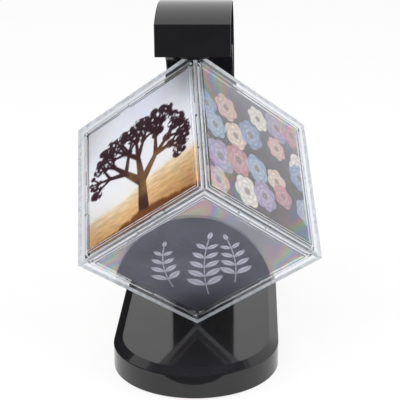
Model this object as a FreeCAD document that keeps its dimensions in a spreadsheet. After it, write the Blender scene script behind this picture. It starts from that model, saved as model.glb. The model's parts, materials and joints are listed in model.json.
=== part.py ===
import FreeCAD, Part
import Sketcher
import math
import os
import re

# Rotating photo cube: a clear cube that stands on one corner of a black base and turns about its
# vertical body diagonal, driven from the head of an arm that curls over it.
# Millimetres, +Z up. The origin is on the turning axis, at the surface that the base stands on.
# The viewer stands on the -Y side; the arm rises on the +Y side.

SIZES = {
    # base
    "pad_height": 1.0,
    "pad_inset": 4.0,
    "base_radius": 44.1,
    "base_centre": 14.3,
    "base_corner": 12.0,
    "rim_height": 13.1,
    "base_height": 15.8,
    "bevel_width": 4.9,
    "base_wall": 2.0,
    "base_top_wall": 1.8,
    "bottom_plate": 1.8,
    "plate_gap": 0.15,
    "rim_round": 0.5,
    "top_round": 0.3,
    "base_screw_margin": 5.1,
    "base_screw_front": 22.0,
    "base_screw_back": 66.0,
    "screw_boss_radius": 3.0,
    "screw_radius": 1.2,
    "screw_head_radius": 2.2,
    "screw_head_height": 1.2,
    "screw_length": 9.0,
    # bearing of the lower corner
    "bush_radius": 3.0,
    "bush_flange_radius": 4.5,
    "bush_flange": 1.2,
    "dimple_radius": 1.1,
    "dimple_depth": 0.8,
    "tip_gap": 0.3,
    # arm
    "arm_width": 37.6,
    "arm_wall": 2.0,
    "column_gap": 6.35,
    "arm_inner_radius": 71.2,
    "ceiling_room": 0.83,
    "head_reach": 22.3,
    "head_top_radius": 78.0,
    "head_gap": 0.8,
    "arm_edge_round": 0.6,
    "cover_thickness": 2.0,
    "cover_gap": 0.15,
    "foot_block_height": 8.0,
    "arm_boss_radius": 3.0,
    "foot_screw_spread": 10.0,
    "arm_screw_drop": 5.5,
    "arm_screw_rise": 7.5,
    "cup_opening_gap": 0.8,
    # cube
    "cube_edge": 88.0,
    "cube_turn": 6.0,
    "window_thickness": 2.2,
    "seam": 0.1,
    "margin": 6.0,
    "print_depth": 4.0,
    "print_thickness": 0.4,
    "core_wall": 1.8,
    "clip_offset": 6.0,
    "clip_length": 8.0,
    "clip_thickness": 1.2,
    "clip_gap": 0.15,
    "clip_lip": 0.4,
    # drive
    "cup_radius": 7.5,
    "cup_grip": 3.8,
    "cup_top_gap": 1.0,
    "cup_fit": 0.1,
    "spindle_radius": 1.5,
    "spindle_socket": 2.6,
    "running_gap": 0.05,
    "spindle_bush_radius": 3.0,
    "spindle_flange_radius": 4.5,
    "spindle_flange": 0.6,
    "clip_ring_radius": 3.2,
    "clip_ring_height": 0.6,
    "clip_mouth": 1.05,
    # gears and gearbox
    "gear_module": 0.4,
    "gear_teeth": 48,
    "pinion_teeth": 12,
    "gear_face": 1.5,
    "gear_layer_gap": 0.4,
    "gear_play": 0.08,
    "tooth_backlash": 0.05,
    "tooth_rise": 0.28,
    "pressure_angle": 20.0,
    "gear_can_gap": 0.4,
    "gear_top_gap": 0.6,
    "axle_radius": 0.75,
    "hub_radius": 1.8,
    "hub_wall": 0.5,
    "gearbox_plate": 1.6,
    "gearbox_top_plate": 1.2,
    "gearbox_side_gap": 1.0,
    "motor_margin": 2.8,
    "top_plate_reach": 5.8,
    "pillar_radius": 2.0,
    "pillar_margin": 2.6,
    "pillar_front": 9.5,
    "box_screw_radius": 0.95,
    "box_screw_head_radius": 1.9,
    "box_screw_head": 1.2,
    "box_screw_length": 14.6,
    "ceiling_boss_radius": 2.6,
    # motor
    "can_radius": 8.0,
    "can_height": 6.2,
    "can_wall": 0.5,
    "can_stand": 2.4,
    "can_clearance": 0.3,
    "motor_shaft_radius": 0.75,
    "armature_gap": 0.65,
    "armature_slot_radius": 1.4,
    "end_play": 0.4,
    "magnet_thickness": 1.2,
    "magnet_split": 3.0,
    "end_cap": 1.2,
    "lug_drop": 0.7,
    # battery compartment in the column
    "cell_radius": 5.25,
    "cell_length": 44.5,
    "cell_nub_radius": 1.9,
    "cell_nub_height": 0.9,
    "cell_gap": 0.35,
    "tray_rise": 11.2,
    "tray_wall": 1.2,
    "tray_room": 0.35,
    "contact_thickness": 0.4,
    "contact_half_width": 4.5,
    "spring_room": 5.3,
    "spring_wire_radius": 0.3,
    "spring_radius": 2.6,
    "spring_turns": 4,
    "door_margin": 1.0,
    "door_thickness": 1.2,
    "door_gap": 0.3,
    "door_pin_radius": 0.4,
    "door_pin_length": 1.2,
    "door_grip": 1.0,
    "tab_half_width": 0.75,
    "tab_rise": 1.8,
    # switch
    "switch_rise": 7.0,
    "switch_half_width": 7.0,
    "switch_half_height": 2.6,
    "switch_depth": 4.9,
    "switch_travel": 3.2,
    "knob_half_width": 1.5,
    "knob_half_height": 1.2,
    "knob_proud": 1.3,
    "knob_foot": 0.9,
    "knob_gap": 0.3,
    # leads
    "lead_radius": 0.6,
    "lead_spread": 5.6,
    "lead_back": 10.9,
}

# The faces of the cube: name, outward normal and upward edge direction. Directions are the cube's
# own edge directions 1, 2 and 3, which point from the lower corner's side to the upper corner's
# side; a minus sign reverses one.
FACES = (
    ("front_right", 1, 2),
    ("back", 2, 3),
    ("front_left", 3, 2),
    ("lower_right", -3, 2),
    ("lower_front", -2, 3),
    ("lower_left", -1, 2),
)

# Heights worked out from the sizes, as formulas.
TIP = "(base_height - dimple_depth + tip_gap)"
CUBE_MIDDLE = f"({TIP} + cube_edge * sqrt(3) / 2)"
CUBE_TOP = f"({TIP} + cube_edge * sqrt(3))"
CUBE_REACH = "(cube_edge * sqrt(2 / 3))"
UNDERSIDE = f"({CUBE_TOP} + head_gap)"
BASE_INSIDE = "(pad_height + bottom_plate)"

# The gearbox in the head, from the cover up: motor can, three layers of gears, top plate.
CAN_LOW = f"({UNDERSIDE} + cover_thickness + can_clearance)"
CAN_TOP = f"({CAN_LOW} + can_height)"
GEARBOX_DECK = f"({CAN_TOP} - can_stand)"
GEARBOX_LOW = f"({GEARBOX_DECK} - gearbox_plate)"
LAYER = [f"({CAN_TOP} + gear_can_gap + {level} * (gear_face + gear_layer_gap))"
         for level in range(3)]
LAYER_TOP = [f"({low} + gear_face)" for low in LAYER]
TOP_PLATE_LOW = f"({LAYER_TOP[2]} + gear_top_gap)"
TOP_PLATE_HIGH = f"({TOP_PLATE_LOW} + gearbox_top_plate)"
GEAR_REACH = "(gear_module * (gear_teeth + pinion_teeth) / 2 + gear_play)"
MOTOR_PLACE = f"(3 * {GEAR_REACH})"
GEARBOX_HALF = "(arm_width / 2 - arm_wall - gearbox_side_gap)"
PILLAR_SPREAD = f"({GEARBOX_HALF} - pillar_margin)"
PILLAR_BACK = f"(1.5 * {GEAR_REACH})"
PLATE_FRONT = "(pillar_front + pillar_margin)"
TOP_PLATE_BACK = f"(2 * {GEAR_REACH} + top_plate_reach)"

# The arm: its inner side clears the turning cube, and its outer side clears both ends of the
# gearbox's top plate: the back end under the bend, the front end under the head's rounded top.
COLUMN_FRONT = f"({CUBE_REACH} + column_gap)"
ARM_CENTRE = f"({COLUMN_FRONT} - arm_inner_radius)"
ARM_BEND = f"({UNDERSIDE} - arm_inner_radius)"
PLATE_RISE = f"({TOP_PLATE_HIGH} - {ARM_BEND})"
OVER_BACK = (f"(sqrt(({TOP_PLATE_BACK} - {ARM_CENTRE}) ^ 2 + {PLATE_RISE} ^ 2) + "
             f"ceiling_room + arm_wall)")
OVER_FRONT = (f"({PLATE_RISE} + head_top_radius - sqrt((head_top_radius - arm_wall - "
              f"ceiling_room) ^ 2 - ({PLATE_FRONT} + {ARM_CENTRE}) ^ 2))")
ARM_OUTER = f"max({OVER_BACK}; {OVER_FRONT})"
CREASE = (f"({ARM_BEND} + {ARM_OUTER} - head_top_radius + "
          f"sqrt(head_top_radius ^ 2 - (head_reach + {ARM_CENTRE}) ^ 2))")
COLUMN_BACK = f"({ARM_CENTRE} + {ARM_OUTER})"
COLUMN_INSIDE = f"({COLUMN_BACK} - arm_wall)"
BASE_BACK = f"({COLUMN_BACK} + base_wall + plate_gap)"
BASE_SCREW_SPREAD = "(base_radius - base_wall - screw_boss_radius - base_screw_margin)"
FOOT_BLOCK_FRONT = f"({COLUMN_FRONT} + cover_thickness + cover_gap)"
FOOT_BLOCK_MIDDLE = f"(({FOOT_BLOCK_FRONT} + {COLUMN_INSIDE}) / 2)"

# The cells, their door, the switch above them and the leads.
CELL_SPREAD = "(cell_radius + cell_gap)"
CELL_PLACE = f"({COLUMN_INSIDE} - cell_radius - tray_room)"
TRAY_SIDE = f"({CELL_SPREAD} + cell_radius + tray_room)"
TRAY_FLOOR = f"({COLUMN_INSIDE} - 2 * cell_radius - 2 * tray_room)"
TRAY_BOTTOM = "(base_height + tray_rise)"
TRAY_LOW = f"({TRAY_BOTTOM} + tray_wall)"
TRAY_HIGH = f"({TRAY_LOW} + 2 * contact_thickness + cell_length + spring_room)"
TRAY_TOP = f"({TRAY_HIGH} + tray_wall)"
DOOR_LOW = f"({TRAY_LOW} - door_margin)"
DOOR_HIGH = f"({TRAY_HIGH} + door_margin)"
DOOR_PIN = (f"({COLUMN_BACK} - door_thickness / 2)",
            f"({DOOR_LOW} + door_gap + door_thickness / 2)")
SWITCH_HEIGHT = f"({TRAY_TOP} + switch_rise)"
ARM_SCREW_HEIGHTS = (f"({TRAY_BOTTOM} - arm_screw_drop)", f"({SWITCH_HEIGHT} + arm_screw_rise)")
LEAD_PLACE = f"({COLUMN_BACK} - lead_back)"
LUG_HEIGHT = f"({CAN_LOW} - lug_drop)"
LEAD_SWING = f"asin(({LUG_HEIGHT} - {ARM_BEND}) / ({LEAD_PLACE} - {ARM_CENTRE}))"
LUG_END = f"({ARM_CENTRE} + ({LEAD_PLACE} - {ARM_CENTRE}) * cos({LEAD_SWING}))"

document = FreeCAD.newDocument("rotating_photo_cube")
sheet = document.addObject("Spreadsheet::Sheet", "sizes")
pieces = []


def fill_sheet():
    """Writes one row for each driving size, with its name as the alias of the value's cell."""
    for row, (name, value) in enumerate(SIZES.items(), start=1):
        sheet.set(f"A{row}", name)
        sheet.set(f"B{row}", str(value))
        sheet.setAlias(f"B{row}", name)
    document.recompute()


def size(name):
    return float(sheet.get(name))


def formula(text):
    """Turns a formula in size names into one that reads the sheet's cells."""
    return re.sub(r"[a-z][a-z_]*", lambda m: "sizes." + m[0] if m[0] in SIZES else m[0], text)


def value(text):
    """The number that a formula in size names gives now."""
    return float(sheet.evalExpression(formula(text)))


def bind(item, **formulas):
    for name, text in formulas.items():
        item.setExpression(name, formula(text))


def place(item, x, y, z):
    for axis, text in zip("xyz", (x, y, z)):
        item.setExpression("Placement.Base." + axis, formula(text))


def turn(item, axis, degrees):
    item.Placement.Rotation = FreeCAD.Rotation(FreeCAD.Vector(*axis), degrees)


def add(kind, label):
    item = document.addObject(kind, re.sub(r"[^a-z0-9]", "_", label))
    item.Label = label
    return item


def block(label, x, y, z):
    """A box between two formulas on each axis."""
    item = add("Part::Box", label)
    spans = (x, y, z)
    for side, (low, high) in zip(("Length", "Width", "Height"), spans):
        bind(item, **{side: f"({high}) - ({low})"})
    place(item, *(low for low, high in spans))
    return item


def across(half, middle="0"):
    """The two ends of a span with the same reach on both sides of its middle."""
    return f"{middle} - ({half})", f"{middle} + ({half})"


def rod(label, radius, low, high, at=("0", "0"), axis="z"):
    """A cylinder from low to high along an axis; at gives its place on the other two axes."""
    item = add("Part::Cylinder", label)
    bind(item, Radius=radius, Height=f"({high}) - ({low})")
    if axis == "x":
        turn(item, (0, 1, 0), 90)
        place(item, low, *at)
    elif axis == "y":
        turn(item, (1, 0, 0), -90)
        place(item, at[0], low, at[1])
    else:
        place(item, *at, low)
    return item


def cone(label, low_radius, high_radius, low, high, at=("0", "0")):
    item = add("Part::Cone", label)
    bind(item, Radius1=low_radius, Radius2=high_radius, Height=f"({high}) - ({low})")
    place(item, *at, low)
    return item


def fuse(label, *parts):
    item = add("Part::MultiFuse", label)
    item.Shapes = list(parts)
    item.Refine = True
    return item


def cut(label, base, *tools):
    item = add("Part::Cut", label)
    item.Base = base
    item.Tool = tools[0] if len(tools) == 1 else fuse(label + " cutters", *tools)
    return item


def common(label, *parts):
    item = add("Part::MultiCommon", label)
    item.Shapes = list(parts)
    return item


def group(label, *parts):
    """Separate solids that share one node."""
    item = add("Part::Compound", label)
    item.Links = list(parts)
    return item


def turned_copy(label, part, rotation):
    """The same solid again, turned about the origin."""
    item = group(label, part)
    item.Placement.Rotation = rotation
    return item


def code_shape(label, shape):
    """A solid worked out by a formula in code."""
    item = add("Part::Feature", label)
    item.Shape = shape
    return item


def piece(label, item):
    """Names a finished sub-part; its label is the name of its file."""
    item.Label = label
    pieces.append(item)
    return item


# ---- sketches -----------------------------------------------------------------------------------

def new_sketch(body, name, plane, height="0"):
    sketch = body.newObject("Sketcher::SketchObject", name)
    origin_plane = next(item for item in body.Origin.OriginFeatures if item.Role == plane)
    sketch.AttachmentSupport = [(origin_plane, "")]
    sketch.MapMode = "FlatFace"
    sketch.setExpression("AttachmentOffset.Base.z", formula(height))
    return sketch


def line(sketch, start, end):
    first, last = (FreeCAD.Vector(*point, 0) for point in (start, end))
    return sketch.addGeometry(Part.LineSegment(first, last))


def arc(sketch, centre, radius, start, end):
    circle = Part.Circle(FreeCAD.Vector(*centre, 0), FreeCAD.Vector(0, 0, 1), radius)
    return sketch.addGeometry(Part.ArcOfCircle(circle, math.radians(start), math.radians(end)))


def hold(sketch, kind, *where):
    sketch.addConstraint(Sketcher.Constraint(kind, *where))


def dimension(sketch, text, kind, *where):
    index = sketch.addConstraint(Sketcher.Constraint(kind, *where, value(text)))
    sketch.setExpression(f"Constraints[{index}]", formula(text))


# How a sketch numbers the points of a line or arc, and its own axes.
START, END, CENTRE = 1, 2, 3
HORIZONTAL_AXIS, VERTICAL_AXIS = -1, -2
SKETCH_ORIGIN = (HORIZONTAL_AXIS, START)


def base_outline(body, name, inset, height):
    """Plan of the base: round front, parallel sides, rounded back corners; inset on all sides."""
    sketch = new_sketch(body, name, "XY_Plane", height)
    radius = value(f"base_radius - {inset}")
    back = value(f"{BASE_BACK} - {inset}")
    corner = value(f"base_corner - {inset}")
    middle = -size("base_centre")
    shoulder = back - corner
    front = arc(sketch, (0, middle), radius, 180, 360)
    right = line(sketch, (radius, middle), (radius, shoulder))
    right_corner = arc(sketch, (radius - corner, shoulder), corner, 0, 90)
    rear = line(sketch, (radius - corner, back), (corner - radius, back))
    left_corner = arc(sketch, (corner - radius, shoulder), corner, 90, 180)
    left = line(sketch, (-radius, shoulder), (-radius, middle))
    outline = (front, right, right_corner, rear, left_corner, left)
    for index, edge in enumerate(outline):
        hold(sketch, "Tangent", edge, END, outline[(index + 1) % len(outline)], START)
    hold(sketch, "PointOnObject", front, CENTRE, VERTICAL_AXIS)
    hold(sketch, "Vertical", right)
    hold(sketch, "Vertical", left)
    hold(sketch, "Horizontal", rear)
    hold(sketch, "Equal", right_corner, left_corner)
    dimension(sketch, f"base_radius - {inset}", "Radius", front)
    dimension(sketch, f"base_corner - {inset}", "Radius", right_corner)
    dimension(sketch, "base_centre", "DistanceY", front, CENTRE, *SKETCH_ORIGIN)
    dimension(sketch, f"{BASE_BACK} - {inset}", "DistanceY", *SKETCH_ORIGIN, rear, START)
    return sketch


def arm_outline(body, name, inset, opening, foot):
    """Side view of the arm: column, bend and head. Inset draws its outer side inwards, and
    opening draws its inner side outwards, towards the cube."""
    sketch = new_sketch(body, name, "YZ_Plane")
    centre = (value(ARM_CENTRE), value(ARM_BEND))
    outer = value(f"{ARM_OUTER} - {inset}")
    inner = value(f"arm_inner_radius - {opening}")
    head_radius = value(f"head_top_radius - {inset}")
    reach = value(f"head_reach - {inset}")
    low = value(foot)
    head_centre = (centre[0], centre[1] + outer - head_radius)
    lean = math.degrees(math.asin((reach + centre[0]) / head_radius))
    crease = head_centre[1] + head_radius * math.cos(math.radians(lean))
    under = centre[1] + inner
    column_back = line(sketch, (centre[0] + outer, low), (centre[0] + outer, centre[1]))
    back_bend = arc(sketch, centre, outer, 0, 90)
    head_top = arc(sketch, head_centre, head_radius, 90, 90 + lean)
    head_front = line(sketch, (-reach, crease), (-reach, under))
    underside = line(sketch, (-reach, under), (centre[0], under))
    front_bend = arc(sketch, centre, inner, 0, 90)
    column_front = line(sketch, (centre[0] + inner, centre[1]), (centre[0] + inner, low))
    bottom = line(sketch, (centre[0] + inner, low), (centre[0] + outer, low))
    hold(sketch, "Tangent", column_back, END, back_bend, START)
    hold(sketch, "Tangent", back_bend, END, head_top, START)
    hold(sketch, "Coincident", head_top, END, head_front, START)
    hold(sketch, "Coincident", head_front, END, underside, START)
    hold(sketch, "Tangent", underside, END, front_bend, END)
    hold(sketch, "Tangent", front_bend, START, column_front, START)
    hold(sketch, "Coincident", column_front, END, bottom, START)
    hold(sketch, "Coincident", bottom, END, column_back, START)
    for edge in (column_back, head_front, column_front):
        hold(sketch, "Vertical", edge)
    for edge in (underside, bottom):
        hold(sketch, "Horizontal", edge)
    hold(sketch, "Coincident", back_bend, CENTRE, front_bend, CENTRE)
    hold(sketch, "Vertical", back_bend, END, back_bend, CENTRE)
    dimension(sketch, ARM_CENTRE, "DistanceX", *SKETCH_ORIGIN, back_bend, CENTRE)
    dimension(sketch, ARM_BEND, "DistanceY", *SKETCH_ORIGIN, back_bend, CENTRE)
    dimension(sketch, f"{ARM_OUTER} - {inset}", "Radius", back_bend)
    dimension(sketch, f"head_top_radius - {inset}", "Radius", head_top)
    dimension(sketch, f"arm_inner_radius - {opening}", "Radius", front_bend)
    dimension(sketch, f"head_reach - {inset}", "DistanceX", head_front, END, *SKETCH_ORIGIN)
    dimension(sketch, foot, "DistanceY", *SKETCH_ORIGIN, bottom, START)
    return sketch


def new_body(label):
    return add("PartDesign::Body", label)


def pad(body, name, sketch, length, both_ways=False):
    feature = body.newObject("PartDesign::Pad", name)
    feature.Profile = sketch
    feature.Midplane = both_ways
    bind(feature, Length=length)
    document.recompute()
    return feature


def pocket(body, name, sketch, length, both_ways=False, upwards=False):
    """Cuts a sketch's shape out of the body, and stops if nothing was cut."""
    before = body.Shape.Volume
    feature = body.newObject("PartDesign::Pocket", name)
    feature.Profile = sketch
    feature.Midplane = both_ways
    feature.Reversed = upwards
    bind(feature, Length=length)
    document.recompute()
    if body.Shape.Volume >= before:
        raise ValueError(name + " cuts nothing")
    return feature


def round_edges(body, name, radius, chosen):
    """Rounds the edges of the body's last feature for which chosen(edge) is true."""
    base = body.Tip
    names = [f"Edge{n}" for n, edge in enumerate(base.Shape.Edges, start=1) if chosen(edge)]
    feature = body.newObject("PartDesign::Fillet", name)
    feature.Base = (base, names)
    bind(feature, Radius=radius)
    document.recompute()
    return feature


def lies_at(edge, axis, place_value):
    """True when the whole edge lies in the plane where the axis has that value."""
    near = 0.01
    ends = [getattr(vertex.Point, axis) for vertex in edge.Vertexes]
    middle = getattr(edge.CenterOfMass, axis)
    return all(abs(found - place_value) < near for found in ends + [middle])


# ---- base ---------------------------------------------------------------------------------------

def screw_places():
    return [(f"{side}{BASE_SCREW_SPREAD}", y) for y in ("-base_screw_front", "base_screw_back")
            for side in ("", "-")]


def make_base_shell():
    body = new_body("base shell body")
    wall_foot = base_outline(body, "wall_outline", "0", "pad_height")
    pad(body, "plinth_wall", wall_foot, "rim_height - pad_height")
    bevel = body.newObject("PartDesign::AdditiveLoft", "bevel")
    bevel.Profile = base_outline(body, "rim_outline", "0", "rim_height")
    bevel.Sections = [base_outline(body, "top_outline", "bevel_width", "base_height")]
    bevel.Ruled = True
    document.recompute()
    round_edges(body, "rim_round", "rim_round",
                lambda edge: lies_at(edge, "z", size("rim_height")))
    round_edges(body, "top_round", "top_round",
                lambda edge: lies_at(edge, "z", size("base_height")))
    ceiling = "(base_height - base_top_wall)"
    shoulder = "(rim_height - base_top_wall)"
    wide = base_outline(body, "cavity_outline", "base_wall", "pad_height")
    pocket(body, "cavity", wide, f"{shoulder} - pad_height", upwards=True)
    narrow = base_outline(body, "upper_cavity_outline", "(base_wall + bevel_width)", "pad_height")
    pocket(body, "upper_cavity", narrow, f"{ceiling} - pad_height", upwards=True)
    bosses = [rod(f"base boss {n}", "screw_boss_radius", BASE_INSIDE, ceiling, at)
              for n, at in enumerate(screw_places())]
    holes = [rod(f"base boss hole {n}", "screw_radius", BASE_INSIDE,
                 "pad_height + screw_length", at) for n, at in enumerate(screw_places())]
    arm_way = block("arm way", across("arm_width / 2 + plate_gap"),
                    (f"{COLUMN_FRONT} - plate_gap", f"{COLUMN_BACK} + plate_gap"),
                    (shoulder, "base_height"))
    bush_hole = rod("bush hole", "bush_radius", "base_height - base_top_wall", "base_height")
    moulding = fuse("base moulding", body, *bosses)
    piece("base_shell", cut("base shell", moulding, *holes, arm_way, bush_hole))


def make_bottom_plate():
    body = new_body("bottom plate body")
    outline = base_outline(body, "plate_outline", "(base_wall + plate_gap)", "pad_height")
    pad(body, "plate", outline, "bottom_plate")
    cuts = []
    for n, at in enumerate(screw_places() + foot_screw_places()):
        cuts.append(rod(f"plate hole {n}", "screw_radius", "pad_height", BASE_INSIDE, at))
        cuts.append(rod(f"plate sink {n}", "screw_head_radius", "pad_height",
                        "pad_height + screw_head_height", at))
    piece("base_bottom_plate", cut("bottom plate", body, *cuts))


def screw(label, at, low, length, head):
    """A screw from below: its head's face at low, its shank above it."""
    return fuse(label, rod(label + " head", "screw_head_radius", low, f"{low} + {head}", at),
                rod(label + " shank", "screw_radius", low, f"{low} + {length}", at))


def foot_screw_places():
    return [(f"{side}foot_screw_spread", FOOT_BLOCK_MIDDLE) for side in ("", "-")]


def make_base_fixings():
    screws = [screw(f"base screw {n}", at, "pad_height", "screw_length", "screw_head_height")
              for n, at in enumerate(screw_places())]
    piece("base_screws", group("base screws", *screws))
    arm_screws = [screw(f"arm foot screw {n}", at, "pad_height", "screw_length",
                        "screw_head_height") for n, at in enumerate(foot_screw_places())]
    piece("arm_foot_screws", group("arm foot screws", *arm_screws))
    sole = new_body("sole")
    pad(sole, "sole_pad", base_outline(sole, "sole_outline", "pad_inset", "0"), "pad_height")
    piece("base_pad", sole)


def make_pivot_bush():
    ceiling = "(base_height - base_top_wall)"
    stem = rod("bush stem", "bush_radius", ceiling, "base_height")
    flange = rod("bush flange", "bush_flange_radius", f"{ceiling} - bush_flange", ceiling)
    dimple = cone("dimple", "dimple_radius / 4", "dimple_radius", "base_height - dimple_depth",
                  "base_height")
    piece("pivot_bush", cut("bush", fuse("bush blank", stem, flange), dimple))


# ---- arm ----------------------------------------------------------------------------------------

def make_arm_core():
    """The arm's whole inside up to the middle of its outer wall, as one solid."""
    body = new_body("arm core")
    outline = arm_outline(body, "arm_core_outline", "arm_wall / 2", "0", BASE_INSIDE)
    pad(body, "arm_core_pad", outline, "arm_width - arm_wall", both_ways=True)
    return body


def make_arm_skin():
    """The outer wall: back, two cheeks and the head's front, open on its inner side."""
    body = new_body("arm skin")
    outline = arm_outline(body, "arm_side_outline", "0", "0", BASE_INSIDE)
    pad(body, "arm_solid", outline, "arm_width", both_ways=True)
    half = size("arm_width") / 2
    low = value(BASE_INSIDE)
    crease = value(CREASE)

    def is_outer(edge):
        on_cheek = lies_at(edge, "x", half) or lies_at(edge, "x", -half)
        on_crease = lies_at(edge, "z", crease)
        return on_crease or (on_cheek and not lies_at(edge, "z", low))

    round_edges(body, "arm_edges", "arm_edge_round", is_outer)
    cavity = arm_outline(body, "arm_cavity_outline", "arm_wall", "arm_wall", "pad_height")
    pocket(body, "arm_cavity", cavity, "arm_width - 2 * arm_wall", both_ways=True)
    return body


def box_screw_places():
    return [(f"{side}{PILLAR_SPREAD}", y) for y in ("-pillar_front", PILLAR_BACK)
            for side in ("", "-")]


def switch_slot(label, x_spare, z_spare, y):
    """The room that the knob, or a wider part of it, sweeps as it slides."""
    return block(label, across(f"switch_travel / 2 + knob_half_width + {x_spare} + knob_gap"), y,
                 across(f"knob_half_height + {z_spare} + knob_gap", SWITCH_HEIGHT))


def make_arm_shell():
    inside = across("arm_width / 2 - arm_wall / 2")
    foot_block = block("foot block", inside, (FOOT_BLOCK_FRONT, COLUMN_INSIDE),
                       (BASE_INSIDE, f"{BASE_INSIDE} + foot_block_height"))
    tray = block("tray", across(f"{TRAY_SIDE} + tray_wall"),
                 (f"{TRAY_FLOOR} - tray_wall", COLUMN_INSIDE),
                 (TRAY_BOTTOM, TRAY_TOP))
    bosses = [common(f"ceiling boss {n}", ARM_CORE,
                     rod(f"ceiling boss blank {n}", "ceiling_boss_radius", TOP_PLATE_HIGH,
                         f"{ARM_BEND} + {ARM_OUTER}", at))
              for n, at in enumerate(box_screw_places())]
    solid = fuse("arm moulding", make_arm_skin(), foot_block, tray, *bosses)
    cuts = [rod(f"foot screw hole {n}", "screw_radius", BASE_INSIDE,
                "pad_height + screw_length", at) for n, at in enumerate(foot_screw_places())]
    cuts += [rod(f"ceiling hole {n}", "box_screw_radius", TOP_PLATE_HIGH,
                 f"{GEARBOX_LOW} - box_screw_head + box_screw_length", at)
             for n, at in enumerate(box_screw_places())]
    for n, height in enumerate(ARM_SCREW_HEIGHTS):
        cuts.append(rod(f"back hole {n}", "screw_radius", COLUMN_INSIDE, COLUMN_BACK,
                        ("0", height), "y"))
        cuts.append(rod(f"back sink {n}", "screw_head_radius",
                        f"{COLUMN_BACK} - screw_head_height", COLUMN_BACK, ("0", height), "y"))
    cuts.append(block("tray room", across(TRAY_SIDE), (TRAY_FLOOR, COLUMN_BACK),
                      (TRAY_LOW, TRAY_HIGH)))
    cuts.append(block("door recess", across(f"{TRAY_SIDE} + door_margin"),
                      (f"{COLUMN_BACK} - door_thickness - door_gap", COLUMN_BACK),
                      (DOOR_LOW, DOOR_HIGH)))
    cuts.append(rod("door pin sockets", "door_pin_radius + running_gap",
                    f"-({TRAY_SIDE} + door_margin + door_pin_length)",
                    f"{TRAY_SIDE} + door_margin + door_pin_length", DOOR_PIN, "x"))
    cuts.append(switch_slot("knob slot", "0", "0", (COLUMN_INSIDE, COLUMN_BACK)))
    cuts += [tab_block(f"tab slot {side}", side, "0") for side in ("", "-")]
    piece("arm_shell", cut("arm shell", solid, *cuts))


def make_arm_inner_cover():
    body = new_body("inner cover band")
    inset = "(arm_wall + cover_gap)"
    outline = arm_outline(body, "cover_outline", inset, "0", BASE_INSIDE)
    pad(body, "cover_pad", outline, f"arm_width - 2 * {inset}", both_ways=True)
    beyond = arm_outline(body, "cover_room_outline", "(-arm_wall)", "(-cover_thickness)",
                         "pad_height")
    pocket(body, "cover_room", beyond, "arm_width", both_ways=True)
    back = f"{COLUMN_FRONT} + cover_thickness / 2"
    bosses = [rod(f"cover boss {n}", "arm_boss_radius", back, COLUMN_INSIDE, ("0", height), "y")
              for n, height in enumerate(ARM_SCREW_HEIGHTS)]
    holes = [rod(f"cover boss hole {n}", "screw_radius", f"{COLUMN_BACK} - screw_length",
                 COLUMN_INSIDE, ("0", height), "y") for n, height in enumerate(ARM_SCREW_HEIGHTS)]
    cup_way = rod("cup way", "cup_radius + cup_opening_gap", UNDERSIDE,
                  f"{UNDERSIDE} + cover_thickness")
    piece("arm_inner_cover", cut("inner cover", fuse("cover moulding", body, *bosses), *holes,
                                 cup_way))


def make_arm_screws():
    screws = []
    for n, height in enumerate(ARM_SCREW_HEIGHTS):
        at = ("0", height)
        head = rod(f"arm screw head {n}", "screw_head_radius",
                   f"{COLUMN_BACK} - screw_head_height", COLUMN_BACK, at, "y")
        shank = rod(f"arm screw shank {n}", "screw_radius", f"{COLUMN_BACK} - screw_length",
                    COLUMN_BACK, at, "y")
        screws.append(fuse(f"arm screw {n}", head, shank))
    piece("arm_screws", group("arm screws", *screws))


# ---- batteries, switch and leads ----------------------------------------------------------------

def tab_block(label, side, extra):
    """The upright tab of an upper contact, from the contact up through the tray's top wall."""
    return block(label, across("tab_half_width", f"{side}lead_spread"),
                 across("contact_thickness / 2", LEAD_PLACE),
                 (TRAY_HIGH, f"{TRAY_TOP} + {extra}"))


def make_cells():
    """Two upright cells: the left one with its nub up, the right one with its nub down."""
    step = "contact_thickness"
    left = (f"-{CELL_SPREAD}", CELL_PLACE)
    right = (CELL_SPREAD, CELL_PLACE)
    left_low = f"{TRAY_LOW} + {step} + spring_room"
    left_high = f"{TRAY_HIGH} - {step}"
    right_low = f"{TRAY_LOW} + {step}"
    right_high = f"{right_low} + cell_length"
    piece("battery_1", fuse("left cell",
                            rod("left can", "cell_radius", left_low,
                                f"{left_high} - cell_nub_height", left),
                            rod("left nub", "cell_nub_radius", left_low, left_high, left)))
    piece("battery_2", fuse("right cell",
                            rod("right can", "cell_radius", f"{right_low} + cell_nub_height",
                                right_high, right),
                            rod("right nub", "cell_nub_radius", right_low, right_high, right)))


def arc_from(start, heading, end):
    """The arc that leaves start along heading and reaches end."""
    chord = end - start
    aside = (heading - chord * (heading.dot(chord) / chord.dot(chord))).normalize()
    rise = chord.Length / 2 * math.tan(heading.getAngle(chord) / 2)
    return Part.Arc(start, start + chord * 0.5 + aside * rise, end).toShape()


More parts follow.
